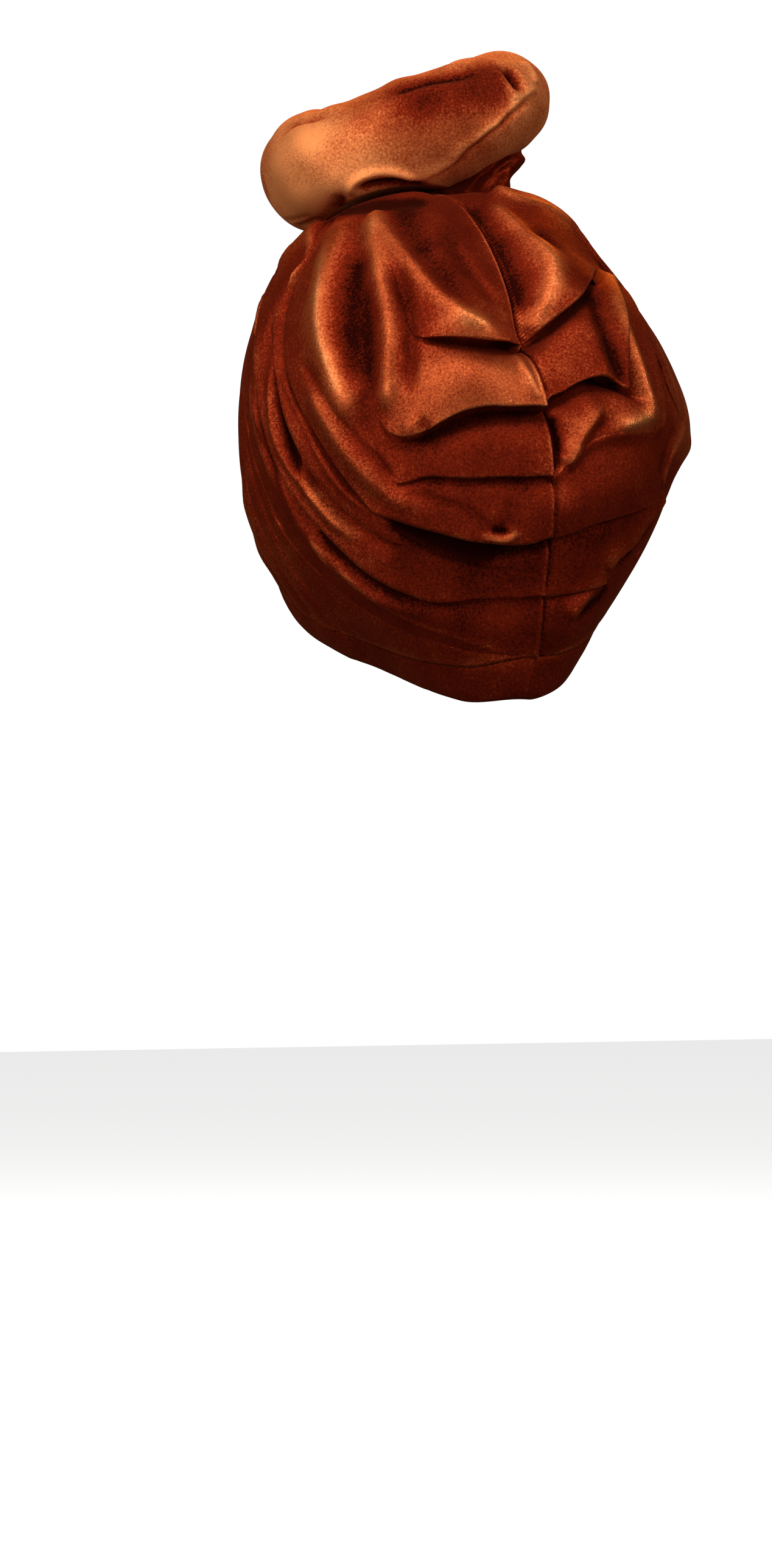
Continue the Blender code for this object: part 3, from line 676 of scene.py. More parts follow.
class Skin:
    """A plain surface seen from the photograph's camera, to lift pixels onto."""

    def __init__(self, first, second, points, inside):
        normal = grid_normals(points)
        normal *= np.where((normal * (points - inside)).sum(-1) < 0, -1.0, 1.0)[..., None]
        eye = camera_axes()[0]
        seen = (normal * (eye - points)).sum(-1) > 0
        self.places = np.stack([first[seen], second[seen]], -1)
        self.points = points[seen]
        self.normals = normal[seen]
        self.pixels = pixel_of(self.points)

    def lift(self, pixels):
        """Index of the seen point under each pixel; the nearest to the camera where two are."""
        found = []
        for pixel in np.asarray(pixels, float):
            away = np.sqrt(((self.pixels - pixel) ** 2).sum(-1))
            depth = (self.points - camera_axes()[0]) @ camera_axes()[1]
            close = away < away.min() + SAME_PIXEL
            found.append(np.flatnonzero(close)[depth[close].argmin()])
        return np.array(found)


def panel_skin(side):
    turns = np.linspace(0.0, 180.0, SKIN_TURNS) * side
    turn, rise = np.meshgrid(turns, np.linspace(0.0, SKIN_TOP, SKIN_RISES), indexing="ij")
    return Skin(turn, rise, panel_point(turn, rise, np.zeros_like(turn)), CENTRE)


def spread(stops, places):
    """Smooth curve through stops, read at places from 0 to 1, by chord length."""
    stops = np.asarray(stops, float)
    keys = run_along(panel_point(stops[:, 0], stops[:, 1], np.zeros(len(stops))))
    table = [("key", "turn", "rise")] + [(key, *stop) for key, stop in zip(keys / keys[-1], stops)]
    return smooth(places, table, "turn"), smooth(places, table, "rise")


def pleat_line(pleat, skin):
    """Turn and rise at each step along a pleat; its corner falls at the same step on all."""
    stops = []
    if pleat.pixels:
        stops = [tuple(stop) for stop in skin.places[skin.lift(pleat.pixels)]]
        stops[0] = (0.0, stops[0][1])
    stops += pleat.beyond
    along = np.linspace(0.0, 1.0, ALONG_STEPS + 1)
    early = along <= CORNER_ALONG
    first = spread(stops[: pleat.corner + 1], along[early] / CORNER_ALONG)
    last = spread(stops[pleat.corner:], (along[~early] - CORNER_ALONG) / (1.0 - CORNER_ALONG))
    turn = np.concatenate([first[0], last[0]])
    rise = np.concatenate([first[1], last[1]])
    for _ in range(3):
        for line in (turn, rise):
            line[1:-1] = line[1:-1] * 0.5 + (line[:-2] + line[2:]) * 0.25
    return np.stack([turn, rise], -1)


def lip_opening(pleat, along):
    table = [("along", "open")] + pleat.opening + [(1.0, 0.0)]
    return np.clip(smooth(along, table, "open"), 0.0, 1.0)


def lip_profile(pleat, along):
    """Rows round a pleat's edge: (offset across it, height) in metres, from the cloth above it
    over the lip, back under it into the pocket and out again."""
    opened = lip_opening(pleat, along)
    lip, pocket, tuck, carry = (size * MM for size in (pleat.lip, pleat.pocket, pleat.tuck, pleat.carry))
    radius = min(LIP_RADIUS, LIP_RADIUS_SHARE * (lip + LIP_THICKNESS))
    rows = []
    for angle in LIP_BENDS:
        turned = math.radians(angle)
        rows.append((-radius + radius * math.cos(turned), lip - radius + radius * math.sin(turned)))
    under = lip - 2 * radius
    for of_tuck, of_radius, of_under, of_pocket in POCKET_ROWS:
        rows.append((of_tuck * tuck + of_radius * radius, of_under * under + of_pocket * pocket))
    middle = (len(rows) - 1) / 2
    made = []
    for number, (offset, height) in enumerate(rows):
        least = (number - middle) / middle * CLOSED_LIP
        made.append((offset * opened + least * (1.0 - opened), height * opened + carry))
    return made


def fold_rows(lines, pleats, along):
    """(turn, rise, height, tone) rows of a panel from the seam round to the centre front.
    The seam and the front, the first and last of its lines, have no pleat."""
    runs = [panel_point(line[:, 0], line[:, 1], np.zeros(len(along))) for line in lines]
    spans = [np.linalg.norm(far - near, axis=1) for near, far in zip(runs, runs[1:])]
    spans = [np.maximum(span, SPAN_LEAST) for span in spans]
    fade = ease((1.0 - along) / KNOT_FADE)
    low_part = 1.0 - ease((along - TONE_UNTIL) / TONE_FADE)
    rows = []
    for number, span in enumerate(spans):
        first, second = lines[number:number + 2]
        above, below = pleats[number:number + 2]
        reach = np.minimum(1.0, span / FULL_SPAN)
        slope = POCKET_SLOPE * (above.tuck if above else 1.0) * MM + POCKET_LEAST
        start_share = start_height = end_share = end_height = 0.0
        if above:
            opened = lip_opening(above, along)
            start = POCKET_OUT * above.tuck * MM * opened + CLOSED_LIP * (1.0 - opened)
            start_share = start * reach / span
            start_height = (above.carry - above.pocket * POCKET_END * opened) * MM * fade * reach
        if below:
            opened = lip_opening(below, along)
            end_share = (LIP_RADIUS * opened + CLOSED_LIP * (1.0 - opened)) * reach / span
            end_height = (below.lip * opened + below.carry) * MM * fade * reach
        steps = max(4, int(np.percentile(span, 80) / ROW_STEP))
        crowd = 1.0
        if above is None:
            steps = int(steps * SEAM_ROWS)
            crowd = SEAM_CROWD
        opened = np.max([lip_opening(pleat, along) for pleat in (above, below) if pleat], axis=0)
        puff = (above or below).puff * MM * fade * np.minimum(1.0, span / PUFF_SPAN) * opened
        tone = SIDE_TONE + ((below.tone if below else SIDE_TONE) - SIDE_TONE) * low_part
        for step in range(1, steps):
            part = (step / steps) ** crowd
            share = start_share + (1.0 - start_share - end_share) * part
            height = start_height * bell(part * span, 0.0, slope) * (1.0 - part)
            height = height + end_height * part**2 + puff * math.sin(math.pi * part)
            spot = first + (second - first) * share[:, None]
            rows.append((spot[:, 0], spot[:, 1], height, tone))
        if not below:
            continue
        ahead = spans[number + 1]
        next_reach = np.minimum(reach, ahead / FULL_SPAN)
        # Rows round the lip, each lit by its painted highlight
        for shine, (offset, height) in zip(LIP_HIGHLIGHT, lip_profile(below, along)):
            offset = offset * next_reach
            back = (second - first) * (offset / span)[:, None]
            forward = (lines[number + 2] - second) * (offset / ahead)[:, None]
            spot = second + np.where((offset < 0)[:, None], back, forward)
            lit = tone + shine * lip_opening(below, along) * fade
            rows.append((spot[:, 0], spot[:, 1], height * fade * next_reach, lit))
    return rows


def elbow_height(side, turn, rise):
    """How far the right side's cloth stands out over the plain form, down to its elbow."""
    edge = band_elevation(turn)
    swell = smooth(edge + (90.0 - edge) * rise, ELBOW, "height") * MM
    return swell * bell(turn, ELBOW_TURN, ELBOW_WIDTH) * (side < 0)


def ridge_field(base, skin, ridges):
    """Height and shine that the ridges add at each base point of a surface."""
    flat = base.reshape(-1, 3)
    total = np.zeros(len(flat))
    shine = np.zeros(len(flat))
    for ridge in (Ridge(*row) for row in ridges):
        found = skin.lift(ridge.pixels)
        stops = np.concatenate([skin.points[found], skin.normals[found]], axis=1)
        steps = np.linalg.norm(np.diff(stops[:, :3], axis=0), axis=1)
        keys = np.concatenate([[0.0], np.cumsum(np.maximum(steps, SPAN_LEAST))])
        table = [("key", "x", "y", "z", "nx", "ny", "nz")] + [(key, *stop) for key, stop in zip(keys, stops)]
        fine = np.arange(0.0, keys[-1], RIDGE_STEP)
        line = np.stack([smooth(fine, table, axis) for axis in ("x", "y", "z")], -1)
        outward = np.stack([smooth(fine, table, axis) for axis in ("nx", "ny", "nz")], -1)
        aside = np.cross(np.gradient(line, axis=0), outward)
        aside /= np.linalg.norm(aside, axis=1, keepdims=True)
        wide = RIDGE_REACH * max(ridge.right, ridge.left) * MM
        inside = (flat > line.min(axis=0) - wide) & (flat < line.max(axis=0) + wide)
        near = np.flatnonzero(np.all(inside, axis=1))
        if not len(near):
            continue
        points = flat[near]
        best = np.full(len(points), np.inf)
        index = np.zeros(len(points), int)
        for number, spot in enumerate(line):
            away = ((points - spot) ** 2).sum(-1)
            closer = away < best
            best[closer] = away[closer]
            index[closer] = number
        sign = ((points - line[index]) * aside[index]).sum(-1)
        width = np.where(sign > 0, ridge.right, ridge.left) * MM
        part = index / max(len(line) - 1, 1)
        strength = ease(part / max(ridge.fade_in, 1e-6)) * ease((1.0 - part) / max(ridge.fade_out, 1e-6))
        bump = strength * np.exp(-best / width**2)
        total[near] += ridge.height * MM * bump
        shine[near] += ridge.shine * bump
    return total.reshape(base.shape[:-1]), shine.reshape(base.shape[:-1])


def grid_mesh(mesh, points, ring=False, tube=False, flip=False):
    """Faces over a grid of points; ring joins its last row to its first, and tube its columns."""
    grid = [[mesh.verts.new(point) for point in row] for row in points]
    rows = len(grid)
    columns = len(grid[0])
    for row in range(rows if ring else rows - 1):
        after = (row + 1) % rows
        for column in range(columns if tube else columns - 1):
            beside = (column + 1) % columns
            face = [grid[row][column], grid[row][beside], grid[after][beside], grid[after][column]]
            mesh.faces.new(face[::-1] if flip else face)
    return grid


def join_edges(mesh, first, second):
    """Triangles between two runs of vertices that start and end beside each other."""
    one = two = 0
    while one < len(first) - 1 or two < len(second) - 1:
        step_one = step_two = math.inf
        if one < len(first) - 1:
            step_one = (first[one + 1].co - second[two].co).length
        if two < len(second) - 1:
            step_two = (first[one].co - second[two + 1].co).length
        if step_one <= step_two:
            mesh.faces.new((first[one], first[one + 1], second[two]))
            one += 1
        else:
            mesh.faces.new((first[one], second[two + 1], second[two]))
            two += 1


def piece_from(name, mesh, material, nap_and_painted_light=None):
    """A smooth-shaded piece; the last argument holds the pile's lean with painted light and shade at each
    vertex, in the order they were made.
    """
    bmesh.ops.recalc_face_normals(mesh, faces=mesh.faces[:])
    data = bpy.data.meshes.new(name)
    mesh.to_mesh(data)
    mesh.free()
    if nap_and_painted_light is not None:
        values = np.full(len(data.vertices), PLAIN_NAP)
        values[: nap_and_painted_light.size] = nap_and_painted_light.ravel()
        data.attributes.new("nap_and_painted_light", "FLOAT", "POINT").data.foreach_set("value", values)
    data.shade_smooth()
    data.materials.append(material)
    piece = bpy.data.objects.new(name, data)
    bpy.context.scene.collection.objects.link(piece)
    return piece


def seam_strip(base, above):
    """The upper seam's turned allowance: a raised edge beside it with slanting stitch marks."""
    line = base[0]
    apart = np.linalg.norm(base - line[None], axis=-1)
    shape = ease(apart / STRIP_EDGE) * (1.0 - ease((apart - STRIP_WIDTH) / STRIP_EDGE)) * above
    run = run_along(line)
    slant = np.sin(2.0 * math.pi * (run[None] + STITCH_SLANT * apart) / STITCH)
    shape = shape * (run > STRIP_START)
    return shape * (STRIP_HEIGHT + STITCH_HEIGHT * slant), shape * (STRIP_NAP + STITCH_NAP * slant)


def panel_nap_and_painted_light(side, turn, rise, tone, fold, added):
    """Lean of a panel's pile with painted light and shade, from the heights of its folds and of what is
    added to them.
    """
    nap_and_painted_light = tone + RIDGE_PAINTED_LIGHT * np.clip(added / MM / RIDGE_PAINTED_LIGHT_HEIGHT, *RIDGE_PAINTED_LIGHT_RANGE)
    nap_and_painted_light = nap_and_painted_light + FOLD_PAINTED_LIGHT * np.clip(fold / MM, *FOLD_PAINTED_LIGHT_RANGE)
    nap_and_painted_light = nap_and_painted_light + EDGE_HIGHLIGHT * bell(rise, 0.0, EDGE_RISE) + WHOLE_NAP
    apart = np.abs(turn) * TURN_WIDTH
    return nap_and_painted_light + side * SEAM_PAINTED_LIGHT * bell(apart, SEAM_PAINTED_LIGHT_AT, SEAM_PAINTED_LIGHT_WIDTH)


def build_panel(name, side, pleats, ridges, material):
    skin = panel_skin(side)
    along = np.linspace(0.0, 1.0, ALONG_STEPS + 1)
    hidden = [hidden_pleat(*row) for row in HIDDEN_PLEATS]
    lines = [pleat_line(pleat, skin) for pleat in pleats]
    top_rise = lines[0][0, 1]
    seam = np.stack([np.zeros(len(along)), top_rise + (KNOT_RISE - top_rise) * along], -1)
    front = np.stack([np.full(len(along), 180.0 * side), KNOT_RISE * along], -1)
    lines[-1][0] = (0.0, 0.0)
    lines = [seam] + lines + [pleat_line(pleat, skin) * np.array([side, 1.0]) for pleat in hidden] + [front]
    rows = np.array(fold_rows(lines, [None] + pleats + hidden + [None], along))
    turn = np.clip(rows[:, 0] * side, 0.0, 180.0) * side
    rise = np.clip(rows[:, 1], 0.0, TOP_RISE)
    fold = rows[:, 2]
    base = panel_point(turn, rise, np.zeros_like(turn))
    # Ridges add height and their painted highlights or shade
    added, shine = ridge_field(base, skin, ridges)
    added = added + elbow_height(side, turn, rise)
    nap_and_painted_light = panel_nap_and_painted_light(side, turn, rise, rows[:, 3], fold, added) + shine
    added = added + SEAM_STEP * side * np.exp(-np.abs(turn) * TURN_WIDTH / SEAM_STEP_WIDTH)
    if side < 0:
        strip, teeth = seam_strip(base, rise > top_rise)
        added = added + strip
        nap_and_painted_light = nap_and_painted_light + teeth
    mesh = bmesh.new()
    outer = grid_mesh(mesh, panel_point(turn, rise, fold + added))
    lining_turn, lining_rise = np.meshgrid(np.linspace(0.0, 180.0, LINING_TURNS) * side,
                                           np.linspace(0.0, KNOT_RISE, LINING_RISES), indexing="ij")
    depth = CLOTH + (LINING_DEPTH - CLOTH) * ease(lining_rise / LINING_EASE)
    inner = grid_mesh(mesh, panel_point(lining_turn, lining_rise, -depth), flip=True)
    low = [row[0] for row in outer]
    corner = min(range(len(low)), key=lambda number: (low[number].co - inner[0][0].co).length)
    join_edges(mesh, outer[0][::-1] + low[1:corner + 1], inner[0][::-1])
    join_edges(mesh, low[corner:], [row[0] for row in inner])
    join_edges(mesh, outer[-1], inner[-1])
    join_edges(mesh, [row[-1] for row in outer], [row[-1] for row in inner])
    return piece_from(name, mesh, material, np.clip(nap_and_painted_light, *NAP_AND_PAINTED_LIGHT_RANGE))


def build_band(material):
    turns = round_trip(-180.0, BAND_TURNS)
    top = band_elevation(turns)
    rim = rim_elevation(turns)
    swell = sum(high * bell(turns, at, wide) for high, at, wide in BAND_SEAM)
    for high, count, phase in BAND_WAVES:
        swell = swell + high * np.sin(np.radians(turns * count + phase))
    loops = []
    for drop, high in BAND_PROFILE:
        outside = math.sin(math.pi * min(max(drop, 0.0), 1.0)) if high > 0 else 0.0
        loops.append(place(turns, top + (rim - top) * drop, (high + swell * outside) * MM))
    mesh = bmesh.new()
    points = np.transpose(np.array(loops), (1, 0, 2))
    grid_mesh(mesh, points, ring=True, tube=True)
    return piece_from("rim_band_velvet", mesh, material, np.full(points.shape[:2], BAND_NAP))


def roll_frame():
    """Centre of the ring, its axes to the right and away from the back, and its normal."""
    knot = heading(np.array([0.0]), np.array([90.0]))[0]
    reach = form_radius(knot[None, :])[0] + ROLL_LIFT
    centre = knot * reach + np.array([-ROLL_SHIFT, 0.0, 0.0]) + CENTRE
    tilt = math.radians(ROLL_TILT)
    pitch = math.radians(ROLL_PITCH)
    right, away, up = level_axes(ROLL_TURN)
    right = right * math.cos(tilt) + up * math.sin(tilt)
    lifted = np.cross(right, away)
    away = away * math.cos(pitch) + lifted * math.sin(pitch) * np.sign(lifted[2])
    normal = np.cross(right, away)
    return centre, right, away, normal * np.sign(normal[2])


# The ring: tube size against ROLL_TUBE, its height against its width, and its middle's lift in
# millimetres, then its steps round, its slow waves and its ridges
RING = [
    ("way", "tube", "tall", "lift"),
    (0, 0.84, 0.97, -0.6),
    (45, 0.86, 0.97, -1.0),
    (90, 0.90, 0.97, 0.0),
    (135, 0.94, 1.00, 0.8),
    (180, 0.98, 1.02, 0.2),
    (205, 1.01, 1.08, -0.4),
    (235, 1.02, 1.02, 0.2),
    (270, 1.03, 1.00, 0.2),
    (315, 0.95, 1.00, -0.6),
    (360, 0.84, 0.97, -0.6),
]
ROLL_WAYS = 300
ROLL_SIDES = 168
ROLL_WAVES = [
    # height in millimetres, waves along the ring and round its tube, phase
    (0.45, 5, 2, 0.0),
    (0.35, 9, -3, 1.0),
    (0.20, 17, 4, 2.0),
    (0.50, 3, 1, 0.7 + math.pi / 2),
]
ROLL_RIDGES = [
    # name, height, right, left, fade_in, fade_out, painted light or shade, pixels
    ("wrap_edge", 1.3, 1, 4, 0.1, 0.1, 0.1, [
        (680, 302), (700, 289), (720, 281), (740, 269), (760, 251), (780, 233), (800, 216), (815, 205),
        (830, 190), (845, 176), (855, 163), (870, 151), (885, 145)]),
    ("wrap_shadow", -0.8, 1.6, 1.6, 0.2, 0.2, -0.12, [
        (700, 297), (740, 277), (780, 243), (815, 214), (850, 182), (880, 155)]),
    ("hole", -6, 3, 3, 0.35, 0.35, -0.6, [(830, 106), (842, 122), (850, 138), (857, 158)]),
    ("hole_lip", 1.8, 3, 3, 0.2, 0.2, -0.2, [(812, 112), (826, 130), (838, 150), (846, 165)]),
    ("far_lip", 1.6, 3, 3, 0.2, 0.2, 0.1, [(858, 100), (872, 118), (880, 140)]),
    ("left_crease", -1.6, 1.6, 2.6, 0.4, 0.4, -0.2, [
        (452, 236), (464, 222), (480, 211), (500, 202), (525, 193), (555, 183)]),
    ("top_crease", -1, 1.6, 2, 0.2, 0.2, -0.2, [
        (640, 158), (680, 143), (720, 135), (755, 130), (790, 118)]),
    ("far_bump", 1.5, 4, 4, 0.3, 0.3, 0, [(716, 118), (745, 110), (781, 106)]),
    ("top_fold", 1.2, 4, 2, 0.3, 0.3, 0, [(620, 170), (680, 150), (740, 142), (790, 128)]),
    ("under_gather", -1.6, 2, 3, 0.1, 0.3, -0.1, [(520, 372), (545, 350), (560, 330), (575, 305)]),
    ("left_gather", -1.2, 1.5, 1.5, 0.2, 0.3, -0.15, [(478, 385), (500, 372), (530, 358)]),
    ("low_gather", -0.9, 1.2, 1.5, 0.2, 0.3, -0.1, [(462, 368), (485, 362), (520, 350)]),
    ("under_notch", 2.6, 2, 2, 0.1, 0.2, 0.12, [
        (576, 318), (584, 300), (600, 288), (624, 284), (648, 286), (672, 292), (694, 299)]),
    ("left_notch", -1.6, 2.5, 2.5, 0.3, 0.2, -0.25, [(552, 312), (562, 328), (556, 345)]),
    ("notch_shade", -3.2, 2.4, 2, 0.1, 0.3, -0.6, [
        (588, 312), (604, 302), (628, 297), (655, 298), (682, 303), (710, 307)]),
    ("wrap_line", 0.5, 0.9, 1.2, 0.1, 0.2, 0.16, [
        (851, 167), (822, 196), (786, 226), (757, 252), (722, 276), (698, 293)]),
    ("lower_roll", 1.6, 7, 7, 0.2, 0.3, 0.05, [
        (470, 345), (520, 322), (570, 305), (620, 275), (660, 262)]),
    # dark_face and dark_top: painted shade on the ring's face and top
    ("dark_face", 0, 11, 11, 0.3, 0.05, -0.50, [
        (650, 190), (700, 170), (745, 158), (790, 150), (840, 148)]),
    ("dark_top", 0, 7, 7, 0.4, 0.05, -0.30, [
        (600, 168), (660, 146), (720, 134), (780, 118), (830, 108)]),
    ("middle_shade", 0, 8, 8, 0.3, 0.3, -0.08, [(690, 262), (740, 240), (790, 205)]),
    # bright_end and bright_low: painted highlights on the ring's left end and underside
    ("bright_end", 0, 13, 13, 0, 0.3, 0.22, [
        (440, 320), (450, 280), (480, 245), (530, 215), (590, 190)]),
    ("bright_low", 0, 9, 9, 0.1, 0.3, 0.30, [(436, 318), (462, 350), (500, 345), (545, 322)]),
]

# The stem: where its foot stands on the crown and how far its top reaches under the ring, then
# its flutes and the lobes on its left
STEM = [
    ("turn", "foot", "reach"),
    (-180, 0.90, 0.70),
    (-120, 0.85, 1.00),
    (-85, 0.83, 1.15),
    (-50, 0.88, 0.90),
    (-15, 0.94, 0.45),
    (30, 0.95, 0.40),
    (90, 0.94, 0.45),
    (140, 0.92, 0.55),
    (180, 0.90, 0.70),
]
STEM_TURNS = 480
STEM_LEVELS = 48
STEM_FOOT = 0.0018
STEM_WAIST = 0.16
STEM_FLUTE_START = 0.12
STEM_FLUTES = [
    # height in millimetres, flutes round the stem, phase, twist to the top
    (2.0, 13, 0.0, 1.5),
    (1.1, 29, 1.0, -2.0),
]
LOBE_TURN = -95.0
LOBE_WIDTH = 38.0
STEM_LOBES = [
    # height in millimetres, share of the way up, half width as a share
    (7.5, 0.70, 0.13),
    (3.2, 0.44, 0.11),
]


def roll_points(way, side, height):
    """World points of the ring's tube; way and side in degrees, height over the plain tube."""
    centre, right, away, normal = roll_frame()
    angle = np.radians(way)[..., None]
    middle = centre + right * ROLL_HALF_WIDTH * np.cos(angle) + away * ROLL_HALF_DEPTH * np.sin(angle)
    middle = middle + normal * (smooth(way, RING, "lift") * MM)[..., None]
    outward = right * np.cos(angle) / ROLL_HALF_WIDTH + away * np.sin(angle) / ROLL_HALF_DEPTH
    outward /= np.linalg.norm(outward, axis=-1, keepdims=True)
    tube = ROLL_TUBE * smooth(way, RING, "tube")
    turned = np.radians(side)
    across = np.cos(turned) * (tube + height)
    upward = np.sin(turned) * (tube * smooth(way, RING, "tall") + height)
    points = middle + outward * across[..., None] + normal * upward[..., None]
    distance = np.linalg.norm(points - CENTRE, axis=-1)
    direction = (points - CENTRE) / distance[..., None]
    least = form_radius(direction) + ROLL_SEAT
    return CENTRE + direction * np.maximum(distance, least)[..., None], middle


def build_roll(material):
    way, side = np.meshgrid(round_trip(0.0, ROLL_WAYS), round_trip(0.0, ROLL_SIDES), indexing="ij")
    base, middle = roll_points(way, side, np.zeros_like(way))
    added, shine = ridge_field(base, Skin(way, side, base, middle), ROLL_RIDGES)
    for high, along, about, phase in ROLL_WAVES:
        added = added + high * MM * np.sin(along * np.radians(way) + about * np.radians(side) + phase)
    mesh = bmesh.new()
    grid_mesh(mesh, roll_points(way, side, added)[0], ring=True, tube=True)
    # The ring's tone with painted highlights and shade from its ridges and its raised cloth
    nap_and_painted_light = ROLL_NAP + shine + ROLL_RIDGE_PAINTED_LIGHT * np.clip(added / MM, *ROLL_PAINTED_LIGHT_RANGE)
    return piece_from("top_roll_velvet", mesh, material, np.clip(nap_and_painted_light, *NAP_AND_PAINTED_LIGHT_RANGE))


def build_stem(material):
    """Cloth gathered into a wad between the crown and the ring, with soft flutes and lobes."""
    centre, right, away, normal = roll_frame()
    turns = round_trip(-180.0, STEM_TURNS)
    edge = band_elevation(turns)
    foot = edge + (90.0 - edge) * smooth(turns, STEM, "foot")
    base = place(turns, foot, np.full_like(turns, STEM_FOOT))
    way = np.radians(270.0 - turns + ROLL_TURN)
    reach = smooth(turns, STEM, "reach")
    drop = ROLL_TUBE * smooth(np.degrees(way) % 360.0, RING, "tube")
    wide = np.cos(way) * ROLL_HALF_WIDTH * reach
    deep = np.sin(way) * ROLL_HALF_DEPTH * reach
    top = centre + wide[:, None] * right + deep[:, None] * away - drop[:, None] * normal
    lobe = bell((turns - LOBE_TURN + 180.0) % 360.0, 180.0, LOBE_WIDTH)
    loops = []
    for share in np.linspace(0.0, 1.0, STEM_LEVELS + 1):
        flute = np.zeros_like(way)
        for high, count, phase, twist in STEM_FLUTES:
            flute += high * np.cos(count * way + phase + twist * share)
        bulge = lobe * sum(high * bell(share, at, thick) for high, at, thick in STEM_LOBES)
        swell = math.sin(math.pi * min(share + STEM_FLUTE_START, 1.0))
        loop = base * (1.0 - share) + top * share
        middle = loop.mean(axis=0)
        spoke = loop - middle
        length = np.linalg.norm(spoke, axis=1, keepdims=True)
        waist = 1.0 - STEM_WAIST * math.sin(math.pi * share)
        added = (flute * swell + bulge) * MM
        loops.append(middle + spoke / length * (length * waist + added[:, None]))
    points = np.transpose(np.array(loops), (1, 0, 2))
    mesh = bmesh.new()
    grid = grid_mesh(mesh, points, ring=True)
    for column in (0, -1):
        mesh.faces.new([row[column] for row in grid])
    return piece_from("knot_stem_velvet", mesh, material, np.full(points.shape[:2], STEM_NAP))


def fill(node, values):
    """Give a node's named inputs their values."""
    for name, value in values.items():
        node.inputs[name].default_value = value


def noise(tree, coordinates, scale, detail, roughness=0.5):
    texture = tree.nodes.new("ShaderNodeTexNoise")
    fill(texture, {"Scale": scale, "Detail": detail, "Roughness": roughness})
    tree.links.new(coordinates, texture.inputs["Vector"])
    return texture.outputs["Fac"]


def ranged(tree, value, span, start, end):
    """Value remapped from a span to start..end."""
    node = tree.nodes.new("ShaderNodeMapRange")
    fill(node, {"From Min": span[0], "From Max": span[1], "To Min": start, "To Max": end})
    tree.links.new(value, node.inputs["Value"])
    return node.outputs["Result"]


def summed(tree, first, second):
    node = tree.nodes.new("ShaderNodeMath")
    tree.links.new(first, node.inputs[0])
    tree.links.new(second, node.inputs[1])
    return node.outputs[0]


def velvet(name, rough, metal, sheen, speckle=0.20):
    """Crushed-pile velvet: dark between the fibres, with a painted warm highlight in its colour where
    the vertex attribute is high. That attribute, 0 to 1, holds the pile's lean with painted light and
    shade, from painted shade at 0 to a painted highlight at 1;
    rough and metal give the values at 0 and 1, and speckle how far crushed spots depart."""
    material = bpy.data.materials.new(name)
    material.use_nodes = True
    tree = material.node_tree
    shader = tree.nodes["Principled BSDF"]
    spot = tree.nodes.new("ShaderNodeTexCoord").outputs["Object"]
    nap_and_painted_light = tree.nodes.new("ShaderNodeAttribute")
    nap_and_painted_light.attribute_name = "nap_and_painted_light"
    grain = noise(tree, spot, scale=2600.0, detail=2.0)
    crush = noise(tree, spot, scale=950.0, detail=4.0, roughness=0.65)
    drift = noise(tree, spot, scale=60.0, detail=4.0, roughness=0.6)
    speckled = ranged(tree, crush, NOISE_SPAN, -CRUSH_DARK * speckle, speckle)
    mottle = summed(tree, speckled, ranged(tree, drift, NOISE_SPAN, -DRIFT, DRIFT))
    lean = summed(tree, nap_and_painted_light.outputs["Fac"], mottle)
    tint = tree.nodes.new("ShaderNodeValToRGB")
    stops = tint.color_ramp.elements
    stops.remove(stops[1])
    stops[0].position = RUST_RED_SHADE_TO_HIGHLIGHT[0][0]
    stops[0].color = (*RUST_RED_SHADE_TO_HIGHLIGHT[0][1:], 1.0)
    for position, *shade in RUST_RED_SHADE_TO_HIGHLIGHT[1:]:
        stops.new(position).color = (*shade, 1.0)
    tree.links.new(lean, tint.inputs["Fac"])
    tree.links.new(tint.outputs["Color"], shader.inputs["Base Color"])
    tree.links.new(ranged(tree, lean, (0.0, 1.0), *rough), shader.inputs["Roughness"])
    tree.links.new(ranged(tree, lean, (0.0, 1.0), *metal), shader.inputs["Metallic"])
    bump = tree.nodes.new("ShaderNodeBump")
    fill(bump, {"Strength": 0.5, "Distance": PILE_DEPTH})
    tree.links.new(summed(tree, grain, crush), bump.inputs["Height"])
    tree.links.new(bump.outputs["Normal"], shader.inputs["Normal"])
    fill(shader, {
        "Specular Tint": (1.0, 0.46, 0.30, 1.0),
        "Specular IOR Level": 0.0,
        "Sheen Weight": sheen,
        "Sheen Roughness": 0.4,
        "Sheen Tint": (1.0, 0.30, 0.12, 1.0),
    })
    return material


def soft_light(name, position, target, size, power, colour):
    data = bpy.data.lights.new(name, "AREA")
    data.shape = "RECTANGLE"
    data.size, data.size_y = size
    data.energy = power
    data.color = colour
    lamp = bpy.data.objects.new(name, data)
    bpy.context.scene.collection.objects.link(lamp)
    forward = np.array(target) - np.array(position)
    forward = forward / np.linalg.norm(forward)
    side = np.cross(forward, (0.0, 0.0, 1.0))
    side = side / np.linalg.norm(side)
    upward = np.cross(side, forward)
    rotation = Matrix((side, upward, -forward)).transposed()
    lamp.matrix_world = Matrix.Translation(position) @ rotation.to_4x4()


def build_camera():
    eye, forward, right, up = camera_axes()
    data = bpy.data.cameras.new("photo_camera")
    data.sensor_fit = "VERTICAL"
    data.sensor_height = SENSOR
    data.lens = SENSOR * VIEW_DISTANCE * PIXELS_PER_METRE / PHOTO_SIZE[1]
    data.clip_end = 50.0
    camera = bpy.data.objects.new("photo_camera", data)
    rotation = Matrix((right, up, -forward)).transposed()
    camera.matrix_world = Matrix.Translation(eye) @ rotation.to_4x4()
    bpy.context.scene.collection.objects.link(camera)
    bpy.context.scene.camera = camera


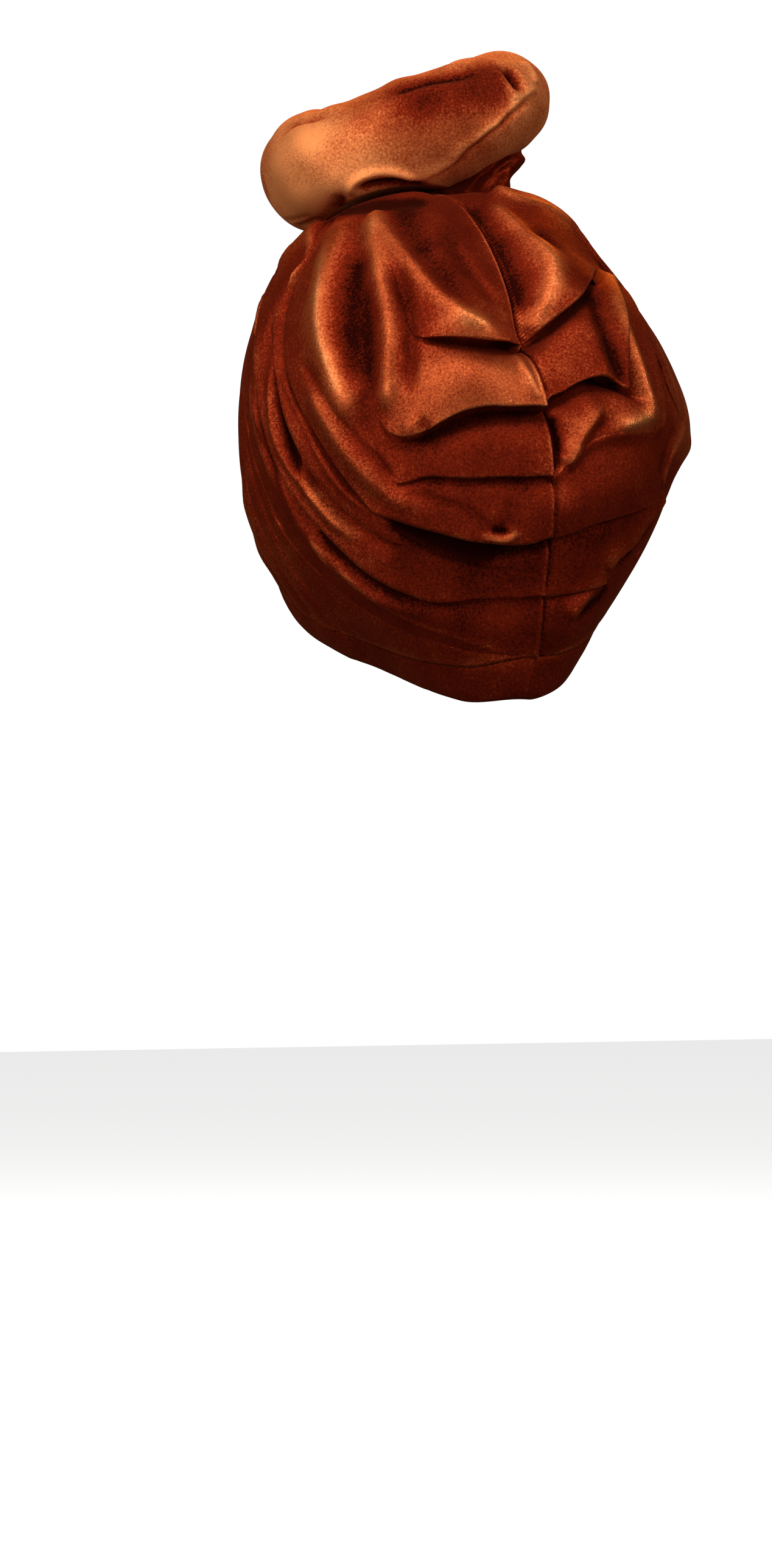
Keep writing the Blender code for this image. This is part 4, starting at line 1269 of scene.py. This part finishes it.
def build_studio():
    mesh = bmesh.new()
    corners = [(-1, -1), (1, -1), (1, 1), (-1, 1)]
    mesh.faces.new([mesh.verts.new((x * FLOOR_HALF, y * FLOOR_HALF, FLOOR_HEIGHT)) for x, y in corners])
    material = bpy.data.materials.new("studio_floor")
    material.use_nodes = True
    fill(material.node_tree.nodes["Principled BSDF"], {
        "Base Color": (0.93, 0.93, 0.93, 1.0),
        "Roughness": 0.8,
        "Emission Color": (1.0, 1.0, 1.0, 1.0),
        "Emission Strength": 0.75,
    })
    floor = piece_from("floor", mesh, material)
    floor.visible_diffuse = False
    floor.visible_glossy = False
    world = bpy.data.worlds.new("studio")
    world.use_nodes = True
    tree = world.node_tree
    background = tree.nodes["Background"]
    fill(background, {"Color": (1.0, 1.0, 1.0, 1.0)})
    seen = tree.nodes.new("ShaderNodeLightPath").outputs["Is Camera Ray"]
    tree.links.new(ranged(tree, seen, (0.0, 1.0), ROOM_LIGHT, 1.0), background.inputs["Strength"])
    bpy.context.scene.world = world
    bpy.context.scene.view_settings.view_transform = "Standard"
    forward, right, up = camera_axes()[1:]
    for name, across, toward, high, width, length, watts, colour in LIGHTS:
        position = CENTRE + right * across - forward * toward + up * high
        soft_light(name, position, CENTRE, (width, length), watts, colour)


def main():
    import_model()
    build_camera()
    build_studio()
    rust = velvet("panel_velvet", rough=(0.44, 0.30), metal=(0.35, 0.98), sheen=0.05)
    light = velvet("roll_velvet", rough=(0.52, 0.50), metal=(0.3, 0.6), sheen=0.12, speckle=0.24)
    dark = velvet("stem_velvet", rough=(0.46, 0.36), metal=(0.45, 0.9), sheen=0.05)
    band = velvet("band_velvet", rough=(0.50, 0.40), metal=(0.45, 0.9), sheen=0.05)
    left = build_panel("left_panel_velvet", 1, LEFT_PLEATS, LEFT_RIDGES, rust)
    right = build_panel("right_panel_velvet", -1, RIGHT_PLEATS, RIGHT_RIDGES, rust)
    rim = build_band(band)
    roll = build_roll(light)
    stem = build_stem(dark)
    nodes = {"left_panel": left, "right_panel": right, "rim_band": rim, "top_roll": roll, "knot_stem": stem}
    for node, piece in nodes.items():
        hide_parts(node)
        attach(piece, "root")


main()
